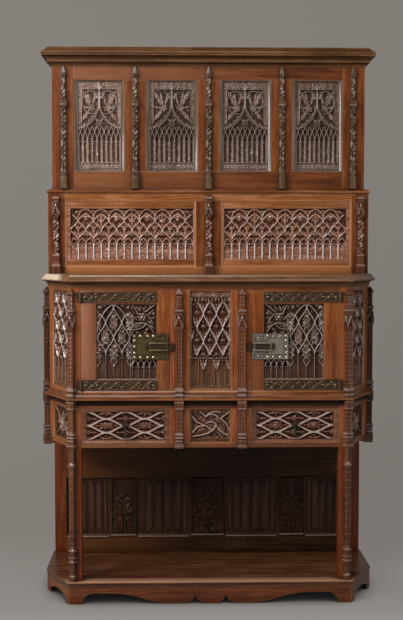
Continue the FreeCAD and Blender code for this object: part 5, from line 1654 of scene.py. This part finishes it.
    def _high_lights(self, cut: Carving) -> None:
        """Draws the crossing lancets, the leafy sill and the borders of an upper panel."""
        width, pitch = cut.width, cut.width / 9
        for number in range(10):
            x = number * pitch
            cut.rib([(x, 36), (x, 122)], 17, 6.0, 0.35)
            for reach in (1, -1):
                cut.rib(bend((x, 118), (x, 140), (x + reach * 0.35 * pitch, 160),
                             (x + reach * pitch, 184)), 6, 8)
                cut.rib([(x, 124), (x + reach * 7, 118)], 5, 7.5)
        cut.rib([(0, 33), (width, 33)], 6, 8)
        for number in range(26):
            x, lean = 3 + number * width / 25.5, (number * 7) % 5 - 2
            cut.leaf((x, 2), (x + lean, 22 + (number * 5) % 9), 9, 7)
        cut.raise_ground((0, 344), (width, 375), 3.4)
        cut.raise_ground((0, 0), (width, 30), 3.2, 4)
        for low, high in ((0, 14), (width - 14, width)):
            cut.raise_ground((low, 190), (high, 375), 3.6)

    def _high_arch(self, cut: Carving) -> None:
        """Draws the great ogee arch of an upper panel and its fleuron."""
        middle = cut.width / 2
        for side in SIDES:
            edge = middle + side * middle
            cut.rib([(edge - side * 15, 200), (edge - side * 15, 342), (middle, 342)], 5, 6.4)
            for shift, wide, lift in ((0, 18, 6.4), (5.0, 5, 10.4), (-4.5, 5, 9.2)):
                path = bend((edge, 180 + shift), (middle + side * 46, 184 + shift),
                            (middle + side * 18, 216 + shift), (middle - side * 2, 272 + shift),
                            steps=20)
                cut.rib(path, wide, lift)
            for share in (0.25, 0.45, 0.65):
                spot = path[round(share * (len(path) - 1))]
                cut.rosette((spot[0] + side * 4, spot[1] + 10), 8, 4, 8.6)
        cut.spray((middle, 0), ((0, 296, 27, 330, 18, 10.0), (0, 346, 22, 356, 14, 10.5),
                                (0, 202, 22, 222, 12, 8)))
        cut.rib([(middle, 262), (middle, 330)], 15, 10.2)
        cut.leaf((middle, 330), (middle, 372), 20, 10.5)
        cut.rosette((middle, 348), 9, 4, 10.5)
        cut.rib([(middle - 13, 198), (middle, 214), (middle + 13, 198), (middle, 183),
                 (middle - 13, 198)], 5, 8)
        cut.rosette((middle, 198), 8, 4, 8.5)

    def _high_hubs(self, cut: Carving, crossed: bool) -> None:
        """Draws the flower and the leaves on each side of the fleuron.

        Args:
            cut: the panel.
            crossed: whether the leaves are bolder and no ring runs round them.
        """
        middle = cut.width / 2
        reach, lift = middle - 17, 7.4 if crossed else 6.4
        cut.spray((middle, 0), tuple((foot, up, 35, 262, wide, lift) for foot, up, wide in (
            (reach, 338, 26), (reach, 208, 24), (8, 332, 17), (reach, 268, 17), (50, 334, 15))))
        for side in SIDES:
            hub = (middle + side * 35, 262)
            corner = middle + side * reach
            if not crossed:
                cut.rib(bend((middle + side * 5, 318), (middle + side * 30, 346),
                             (corner + side * 4, 338), (corner - side * 2, 282), steps=14),
                        9, 8.6, 0.1)
                cut.rib(bend((corner - side * 2, 282), (corner - side * 6, 248),
                             (corner - side * 34, 232), (middle + side * 16, 240), steps=12),
                        8, 8.2, 0.1)
            leans = range(18, 378, 60)
            cut.star(hub, leans, (20, 20), 12, 9.0)
            for lean in leans:
                turn = math.radians(lean)
                cut.rosette((hub[0] + 12.4 * math.cos(turn), hub[1] + 12.4 * math.sin(turn)),
                            6, 4, 9.6)
            cut.rosette(hub, 7, 5, 9.6)

    def mouldings(self) -> None:
        """The cap between the tiers and the cornice."""
        run_of_mould("gallery_cap", self.low_plan, [
            (-60, 1688), (4, 1688), (6, 1689.5), (6, 1694), (4.5, 1695.5), (2, 1698), (-3, 1701),
            (-8, 1702), (-14, 1706), (-60, 1706)], MOULD_OAK, "gradin_cap")
        run_of_mould("cornice_bed", self.high_plan, [
            (-4, 2220), (2, 2220), *hollow((2, 2221), (16, 2236)), (18, 2237), (18, 2246),
            (-4, 2246)], CORNICE_OAK, "cornice")
        run_of_mould("cornice_crown", self.high_plan, [
            (-4, 2246), (17, 2246), (18, 2247), (18, 2251), (20, 2251.6), (20, 2255), (24, 2256),
            (24.5, 2258), (31, 2259), (36, 2261), (39, 2262), (39, 2268), (37.4, 2268.6),
            (37.4, 2270.6), (39, 2271.2), (39, 2278), (38, 2280), (35, 2281), (34, 2282.5),
            (29, 2284.5), (28, 2286), (23.5, 2288), (22.5, 2290), (18, 2294), (16, 2297),
            (14, 2300), (-4, 2300)], CORNICE_OAK, "cornice")

    def low_pinnacle(self) -> Shaft:
        """A lower pinnacle: a block, a flared foot, a twisted leafy shaft, a hood and a cap."""
        full, core = 17.3, 12.4
        shaft = Shaft([
            (1345, full - 1), (1348, full), (1384, full), (1387, core + 2), (1394, core + 1),
            (1398, core), (1424, core + 2.5), (1428, core), (1592, core), (1596, full),
            (1646, full - 3), (1650, core - 1), (1660, core - 1), (1663, 15), (1668, 15),
            (1681, 4), (1683, 2)])
        shaft.knots(1430, 1592, 46, 4.6)
        shaft.leaves(1430, 1592, 23, 1.6)
        shaft.hood(1594, 1648, 4.6)
        shaft.paint_highlight_rings((1376, 1384), (1420, 1425), (1663, 1670))
        return shaft

    def high_pinnacle(self) -> Shaft:
        """An upper pinnacle: a plain block, and a vine with a knob and a leafy tip."""
        full, core = 14.3, 11.4
        shaft = Shaft([
            (1706, full - 1), (1709, full), (1754, full), (1758, core), (1770, core),
            (1773, full - 1), (1779, full - 1), (1782, core), (2050, core), (2056, full - 0.5),
            (2074, full - 0.5), (2080, core - 1), (2176, core - 3), (2180, full - 4),
            (2192, full - 4), (2216, 4), (2220, 2)], roundness=0.25)
        shaft.knots(1784, 2050, 58, 5.2)
        shaft.leaves(1784, 2050, 29, 1.6)
        shaft.knots(2080, 2176, 46, 4.0)
        shaft.paint_highlight_rings((2058, 2064))
        return shaft

    def pinnacles(self) -> None:
        """The pinnacles of both tiers."""
        for tier, shape, places, y, finish in (
                ("gradin", self.low_pinnacle, (-647.0, 0.0, 647.0), 23.5, SHAFT_OAK),
                ("upper", self.high_pinnacle, (-614.0, -311.75, 0.0, 311.75, 614.0), 39.5,
                 GREY_SHAFT)):
            for number, x in enumerate(places, start=1):
                shape().stand(f"{tier}_pinnacle_{number}", (x, y), finish, f"{tier}_pinnacles")


@dataclass
class Door:
    """A framed door with a carved panel, pierced straps and a lock."""

    hand: Hand
    inner: float = 166.6
    outer: float = 525.4
    low: float = 876.6
    high: float = 1283.4
    lock_stile: float = 47.0
    hinge_stile: float = 59.0
    top_rail: float = 53.0
    bottom_rail: float = 39.0
    face_y: float = FRONT_CORNER[1]
    back_y: float = -187.0
    set_back: float = 4.0
    light: float = 23.4
    strap_levels: Point = (897.5, 1256.0)
    strap_length: float = 286.0
    strap_height: float = 42.0
    wave: float = 44.0
    lock_level: float = 1055.0
    lock_start: float = 171.0
    check: float = 13.0

    @property
    def body(self) -> str:
        """The body that the door's pieces ride on."""
        return self.hand.named("door")

    def build(self) -> None:
        """Builds the door."""
        left, right = self.inner + self.lock_stile, self.outer - self.hinge_stile
        foot, head = self.low + self.bottom_rail, self.high - self.top_rail
        for name, start, end, low, high, finish in (
                ("door_lock_stile", self.inner, left, self.low, self.high, DOOR_UPRIGHT),
                ("door_hinge_stile", right, self.outer, self.low, self.high, DOOR_UPRIGHT),
                ("door_bottom_rail", left, right, self.low, foot, DOOR_ACROSS),
                ("door_top_rail", left, right, head, self.high, DOOR_ACROSS)):
            ends = sorted((self.hand.value * start, self.hand.value * end))
            piece = block(self.hand.named(name), (ends[0], self.face_y, low),
                          (ends[1], self.back_y, high), 0.9)
            hand_over(piece, finish, self.body, self.hand.named("door_frame"))
        height = head - foot
        Framed(6.0, 6.0, 13.0).fit(self.hand.named("door_surround"),
                                   self.hand.face(left, self.face_y, foot),
                                   right - left, height, self.body)
        self.panel(right - left, height)
        self.ironwork()
        self.lock()
        self.nails()

    def panel(self, width: float, height: float) -> None:
        """The carved panel, drawn from the hinge side, from its opening's width and height."""
        cut = Carving(width - 8, height - 8, 1.3, seed=41)
        self._arch(cut)
        self._lights(cut)
        self._mouchettes(cut)
        cut.rib([(0, 1), (width, 1)], 8, 8)
        cut.gouged(0.3, 7.0, 90)
        start = self.outer - self.hinge_stile - self.set_back
        face = Face((self.hand.value * start, self.face_y + 14,
                     self.low + self.bottom_rail + self.set_back), (-self.hand.value, 0.0))
        cut.board(self.hand.named("door_carving"), face, (7, 8.5, 10.5), DOOR_CARVED,
                  self.hand.named("door_panel"), body=self.body)

    def _arch(self, cut: Carving) -> None:
        """Draws the great pointed arch, and the net and foliage under it."""
        def inside(u: float, v: float) -> bool:
            """Whether a point lies under the great arch."""
            edge = np.interp(v, [195, 232, 258, 283, 309], [2, 6, 16, 33, 66])
            return edge - 2 <= u <= 140 - edge + 2

        cut.ribs([bend((3, 190), (4, 236), (28, 284), (68, 308), steps=18),
                  bend((137, 190), (136, 236), (112, 284), (72, 308), steps=18)], 9, 10)
        for u, v in cut.net((4, 49), (66, 122), 4, 108, 306, 9.5, 9.4, inside=inside):
            if not (inside(u, v + 61) and v + 61 < 290 and 0 < u < 140):
                continue
            cut.star((u, v + 61), range(45, 405, 90), (27, 30), 20, 8.8)
            cut.spray((u, v), ((0, 74, 14, 102, 15, 8.6), (0, 48, 14, 22, 15, 8.6)))
            cut.leaf((u, v + 78), (u, v + 112), 11, 8.5)
            cut.rib([(u - 13, v + 26), (u, v + 6), (u + 13, v + 26)], 9, 9.2, 0.1)
            cut.rosette((u, v + 61), 18, 6, 8.5)
            cut.rosette((u, v + 61), 8, 6, 9.5)
        for spot in ((10, 140), (130, 140), (12, 262), (128, 262)):
            cut.rosette(spot, 13, 5, 8)

    def _lights(self, cut: Carving) -> None:
        """Draws the four tall lancets and the four small crossing ones."""
        cut.raise_ground((0, 0), (140, 62), 1.9, 44)
        cut.raise_ground((140, 0), (240, 34), 1.9, 36)
        cut.lancets(4, 137, 4, 4, 86, 34, 5.0, 8.0, 11)
        for number in range(5):
            x = 145 + number * self.light
            cut.rib([(x, 4), (x, 58)], 5.5, 7.5)
            for reach in (1, -1):
                end = x + reach * self.light
                if 144 <= end <= 240:
                    cut.rib(bend((x, 56), (x, 70), (x + reach * 7, 78), (end, 90), steps=8),
                            8, 10.4)
                cut.rib([(x, 54), (x + reach * 8, 50)], 5, 8)

    def _mouchettes(self, cut: Carving) -> None:
        """Draws the curved lights and foliage beside the great arch."""
        for points, steps, wide, top in (
                (((137, 205), (150, 228), (176, 236), (202, 228)), 14, 8, 10),
                (((202, 228), (214, 220), (224, 206), (233, 192)), 10, 8, 10),
                (((137, 205), (160, 202), (186, 206), (202, 228)), 14, 7, 9),
                (((137, 272), (146, 262), (156, 254), (164, 244)), 8, 7, 9.5),
                (((226, 234), (222, 246), (212, 258), (200, 266)), 8, 7, 9.5),
                (((168, 266), (164, 280), (158, 290), (150, 302)), 8, 8, 10),
                (((196, 276), (208, 284), (222, 292), (236, 306)), 8, 8, 10)):
            cut.rib(bend(*points, steps=steps), wide, top)
        cut.rosette((184, 254), 21, 6, 8.5)
        cut.rosette((184, 254), 9, 6, 9.5)
        cut.leaves((((146, 210), (192, 226)), ((150, 216), (176, 232)), ((206, 236), (238, 226)),
                    ((216, 224), (238, 204)), ((150, 244), (142, 216)), ((150, 252), (142, 262)),
                    ((172, 276), (182, 304)), ((186, 280), (206, 304)), ((206, 262), (236, 288)),
                    ((210, 250), (240, 252)), ((140, 302), (148, 282)), ((160, 300), (172, 284)),
                    ((214, 304), (222, 290)), ((118, 300), (134, 284)), ((96, 304), (116, 298)),
                    ((6, 302), (24, 286)), ((18, 304), (40, 302)), ((6, 284), (10, 262)),
                    ((128, 306), (130, 290)), ((212, 212), (196, 196)), ((226, 190), (240, 176)),
                    ((156, 196), (180, 186)), ((190, 194), (214, 184)), ((224, 268), (240, 272))),
                   15, 8.6)
        for number in range(4):
            cut.leaf((3 + 8 * number, 304), (3 + 3 * number, 282), 8, 7)

    def ironwork(self) -> None:
        """The straps and the lock in plain iron, and the chased scrolls of the straps."""
        iron = LEFT_IRON if self.hand is Hand.LEFT else RIGHT_IRON
        for node, finish in (
                ("door_straps", STRAP_IRON), ("lock_plate", iron), ("lock_bolt", BOLT_IRON)):
            dress(self.hand.named(node), finish, 0.4)
        length, height = self.strap_length, self.strap_height
        middle = height / 2
        for level, z in zip(("low", "high"), self.strap_levels):
            cut = Carving(length, height, 1.4, seed=61)
            cut.ribs([[(0, 2), (length, 2)], [(0, height - 2), (length, height - 2)]], 5, 2.6)
            along = np.linspace(0, length, 120)
            for side in SIDES:
                swing = middle + side * (9 + 5 * np.sin(2 * np.pi * along / self.wave))
                cut.rib(np.stack([along, swing], axis=1), 6, 3.0)
            for x in range(11, 286, 22):
                cut.rib([(x - 6, middle), (x, middle + 6), (x + 6, middle), (x, middle - 6),
                         (x - 6, middle)], 4, 3.0)
            cut.gouged(0.2, 5.0)
            self.sheet(f"strap_chasing_{level}", cut, 226.0, z - middle, STRAP_SHEET)

    def lock(self) -> None:
        """The pierced face of the lock plate, and the two guides of its bolt."""
        left_hand = self.hand is Hand.LEFT
        low, high = self.lock_level - 51.5, self.lock_level + 51.5
        for name, x, width, foot, head in (
                ("wing", 216.0, 100, low, high), ("foot", self.lock_start, 40, low, 1034.0),
                ("head", self.lock_start, 40, 1076.0, high)):
            cut = Carving(width, head - foot, 1.3, seed=62)
            u, v = np.meshgrid(cut.u, cut.v)
            edge = np.minimum(np.minimum(u, width - u), np.minimum(v, head - foot - v))
            turn = 2 * np.pi / self.check
            squares = (np.sin(turn * u) > 0) ^ (np.sin(turn * v) > 0)
            pierced = (edge > 3) & ((edge < 20) | (name != "wing")) & squares
            cut.h = np.where(pierced, 0.3, 2.4)
            cut.gouged(0.3, 5.0)
            self.sheet(f"lock_{name}", cut, x, foot, LEFT_SHEET if left_hand else RIGHT_SHEET)
        left, right = sorted((self.hand.value * self.lock_start, self.hand.value * 250.0))
        rails = [block("rail", (left, -223.6, level - 2.6), (right, -219.0, level + 2.6), 1.8)
                 for level in (self.lock_level - 14.5, self.lock_level + 14.5)]
        hand_over(joined(self.hand.named("lock_rails"), rails),
                  LEFT_RAIL if left_hand else RAIL_IRON, self.body)

    def sheet(self, name: str, cut: Carving, x: float, z: float, finish: ForgedIron) -> None:
        """Lays a chased iron sheet over the iron under it.

        Args:
            name: its name.
            cut: its relief.
            x: how far from the middle it starts.
            z: its foot.
            finish: its finish.
        """
        face = self.hand.face(x, self.face_y - 2.5, z)
        cut.board(self.hand.named(name), face, (0.6, 3, 3), finish, slot="wrought_iron",
                  body=self.body)

    def nails(self) -> None:
        """The bright nail heads of the straps and the lock plate."""
        straps = []
        for z in self.strap_levels:
            straps += [(x, z) for x in (510, 481, 462)]
            straps += [(x, z + side * 11) for x in (290, 250) for side in SIDES] + [(232, z)]
        lock = [(x, self.lock_level + side * 43) for x in (308, 284, 255, 232) for side in SIDES]
        lock += [(308, self.lock_level + up) for up in (25, 0, -25)]
        for name, spots, radius, finish in (("strap_nails", straps, 4.6, STRAP_NAIL),
                                            ("lock_nails", lock, 5.6, NAIL_IRON)):
            places = [(self.hand.value * x, self.face_y - 2.8, z) for x, z in spots]
            heads = nail_heads(self.hand.named(name), places, radius)
            hand_over(heads, finish, self.body, angle=60)


@dataclass
class Drawer:
    """A lapped drawer with a carved front and a drop pull."""

    hand: Hand
    inner: float = 165.5
    outer: float = 525.5
    low: float = 657.5
    high: float = 801.5
    face_y: float = FRONT_CORNER[1]
    side_margin: float = 23.0
    foot_margin: float = 17.0
    top_margin: float = 14.0
    pull: Point = (345.5, 739.5)
    pull_room: float = 15.0

    def build(self) -> None:
        """Builds the drawer."""
        width, height = self.outer - self.inner, self.high - self.low
        left, right = self.side_margin, width - self.side_margin
        low, top = self.foot_margin, height - self.top_margin
        cut = Carving(width, height, 1.5, seed=51)
        self._bands(cut, left, right, low, top)
        self._flowers(cut, left, right, low, top)
        u, v = np.meshgrid(cut.u, cut.v)
        outside = (u < left) | (u > right) | (v < low) | (v > top)
        cut.gouged(0.3, 5.0)
        edge = np.maximum(np.maximum(left - u, u - right), np.maximum(low - v, v - top))
        border = np.clip(edge / 2.0, 0, 1) * 5.6 + np.clip((edge - 4) / 4, 0, 1) * 1.2
        border += np.clip((edge - 9) / 2.0, 0, 1) * 2.0
        cut.h = np.where(outside, border, cut.h)
        away = np.hypot(u - (self.pull[0] - self.inner), v - (self.pull[1] - self.low))
        near = away < self.pull_room
        cut.h[near] = np.minimum(cut.h[near], 4.5)
        face = self.hand.face(self.inner, self.face_y + 10.4, self.low)
        cut.board(self.hand.named("drawer_carving"), face, (9.5, 9, 10.4), CARVED_ACROSS,
                  self.hand.named("drawer_front"), body=self.hand.named("drawer"), plain=outside)
        for node, finish, bevel in (("drawer_box", INNER_OAK, 0.6), ("pull_boss", STRAP_IRON, 0.3),
                                    ("pull_drop", PULL_IRON, 0.0)):
            dress(self.hand.named(node), finish, bevel)

    def _bands(self, cut: Carving, left: float, right: float, low: float, top: float) -> None:
        """Draws four waving bands that meet and part twice, inside a margin."""
        wave, row = (right - left) / 2, (top - low) / 4
        along = np.linspace(left, right, 90)
        for number in range(4):
            swing = (row / 2) * np.cos(2 * np.pi * (along - left - wave / 2) / wave)
            across = low + (number + 0.5) * row + (swing if number % 2 == 0 else -swing)
            cut.rib(np.stack([along, across], axis=1), 12.5, 8.8, 0.5)

    def _flowers(self, cut: Carving, left: float, right: float, low: float, top: float) -> None:
        """Draws the flowers and leaves between the bands, inside a margin."""
        row = (top - low) / 4
        for share in (0.25, 0.75):
            spot = (left + share * (right - left), low + 2 * row)
            cut.star(spot, (0, 180), (62, 0), 12, 6.2)
            cut.star(spot, (35, 145, 215, 325), (40, 26), 12, 6.2)
            cut.rosette(spot, 17, 6, 7.8)
            cut.rosette(spot, 8, 6, 9.5)
            for level, side in ((low + 2, 1), (top - 2, -1)):
                for lean, rise in ((-34, 0.35), (0, 0.72), (34, 0.35)):
                    cut.leaf((spot[0], level), (spot[0] + lean, level + side * row * rise), 11, 7.5)
        for share in (0.0, 0.5, 1.0):
            x = left + share * (right - left)
            for level in (low + row, low + 3 * row):
                cut.rosette((x, level), 14, 5, 8.5)
                cut.spray((x, level), ((8, 0, 46, 0, 12, 7.5),))
            cut.rosette((x, low + 2 * row), 8, 4, 9)


@dataclass
class Studio:
    """The plain floor and backdrop, the lamps, and the camera at the photograph's place."""

    wall: str = "#847e79"
    floor: str = "#8d8783"
    front: str = "#c2bdbb"
    air: str = "#b9b5b2"
    air_strength: float = 0.1
    glow: float = 0.8
    lens: float = 62.13
    sensor: float = 36.0
    place: Place = (-0.140, -4.537, 1.457)
    tilt: float = 86.65
    swing: float = -1.37

    def build(self) -> None:
        """Builds the studio."""
        self.sweep()
        self.lamp("key", (-3.5, -2.6, 3.2), (0.0, 0.0, 1.2), 1.9, 280.0)
        self.lamp("top", (-0.8, -2.9, 4.5), (0.0, 0.0, 1.2), 1.8, 105.0)
        self.lamp("fill", (3.6, -2.7, 1.9), (0.3, -0.1, 1.1), 2.0, 52.0)
        world = bpy.data.worlds.new("studio_air")
        bpy.context.scene.world = world
        world.use_nodes = True
        background = world.node_tree.nodes["Background"]
        background.inputs["Color"].default_value = linear(self.air)
        background.inputs["Strength"].default_value = self.air_strength
        self.camera()

    def sweep(self) -> None:
        """A floor that curves up into the backdrop."""
        profile = [(-7.0, 0.0), (1.2, 0.0), *curve(
            (1.2, 0.0), (2.0, 0.0), (2.4, 0.4), (2.4, 1.4), steps=14), (2.4, 6.0)]
        places = np.array([[(x, y, z) for x in (-6.0, 6.0)] for y, z in profile])
        floor = pick(shaped_grid("studio_floor", places / MM))
        bpy.ops.object.shade_smooth_by_angle(angle=math.radians(60), keep_sharp_edges=True)
        floor.data.materials.append(self.paper())

    def paper(self) -> Material:
        """Matt painted paper: paler towards the front as painted light, with a painted shadow under
        the piece, and bright of its own where the camera or a reflection sees it, so the lamps can
        stay low."""
        paper, tree, shader = new_material("studio_paper")
        place = add_node(tree, "TexCoord").outputs["Object"]
        parts = add_node(tree, "SeparateXYZ", Vector=place)
        # Ramp from the front to the backdrop: the paler front is painted light.
        depth = add_node(tree, "MapRange", {
            "in:From Min": -1.6, "in:From Max": 1.6}, Value=parts.outputs["Y"])
        tone = add_node(tree, "ValToRGB", {"stops": [
            (0.0, linear(self.front)), (0.42, linear(self.floor)), (0.8, linear(self.wall))]},
            Fac=depth)
        # Painted shadow: occlusion darkens the paper under and beside the piece.
        near = add_node(tree, "AmbientOcclusion", {"samples": 8, "in:Distance": 0.3})
        contact_shadow = add_node(tree, "ValToRGB", {"stops": [
            (0.12, (0.03, 0.03, 0.03, 1)), (0.75, CLEAR)]}, Fac=near.outputs["AO"])
        tone = add_node(tree, "Mix", {
            "data_type": "RGBA", "blend_type": "MULTIPLY", "in:0": 1.0},
            _6=tone, _7=contact_shadow).outputs[2]
        tree.links.new(tone, shader.inputs["Base Color"])
        shader.inputs["Roughness"].default_value = 0.75
        rays = add_node(tree, "LightPath").outputs
        direct = add_node(tree, "Math", {"operation": "MAXIMUM"},
                          _0=rays["Is Camera Ray"], _1=rays["Is Glossy Ray"])
        seen = add_node(tree, "Math", {"operation": "MAXIMUM"},
                        _0=direct, _1=rays["Is Transmission Ray"])
        share = add_node(tree, "Math", {"operation": "MULTIPLY", "in:1": self.glow}, _0=seen)
        glow = add_node(tree, "Emission", {"in:Strength": 1.0}, Color=tone)
        mixed = add_node(tree, "MixShader", _0=share, _1=shader, _2=glow)
        tree.links.new(mixed.outputs["Shader"], tree.nodes["Material Output"].inputs["Surface"])
        return paper

    def lamp(self, name: str, place: Place, aim: Place, size: float, watts: float) -> None:
        """A soft square lamp.

        Args:
            name: the lamp's name.
            place: where it hangs, in metres.
            aim: what it points at, in metres.
            size: of its side, in metres.
            watts: its power.
        """
        light = bpy.data.lights.new(name, "AREA")
        light.size = size
        light.energy = watts
        hung = bpy.data.objects.new(name, light)
        hung.location = place
        away = np.array(place) - np.array(aim)
        pitch = math.atan2(math.hypot(away[0], away[1]), away[2])
        hung.rotation_euler = (pitch, 0.0, math.atan2(away[0], -away[1]))
        bpy.context.scene.collection.objects.link(hung)

    def camera(self) -> None:
        """The camera, at the photograph's place and angle."""
        lens = bpy.data.cameras.new("camera")
        lens.lens = self.lens
        lens.sensor_width = self.sensor
        eye = bpy.data.objects.new("camera", lens)
        eye.location = self.place
        eye.rotation_euler = (math.radians(self.tilt), 0.0, math.radians(self.swing))
        bpy.context.scene.collection.objects.link(eye)
        bpy.context.scene.camera = eye


def main() -> None:
    """Builds the dressoir, the studio and the camera."""
    logging.basicConfig(level=logging.INFO, format="%(message)s")
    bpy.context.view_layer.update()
    clear_selection()
    bpy.context.scene.view_settings.view_transform = "Standard"
    Studio().build()
    Stage().build()
    Cabinet().build()
    Gallery().build()
    for hand in Hand:
        Door(hand).build()
        Drawer(hand).build()
    dress("hinge_pintles", STRAP_IRON, 0.3)


if __name__ == "__main__":
    main()
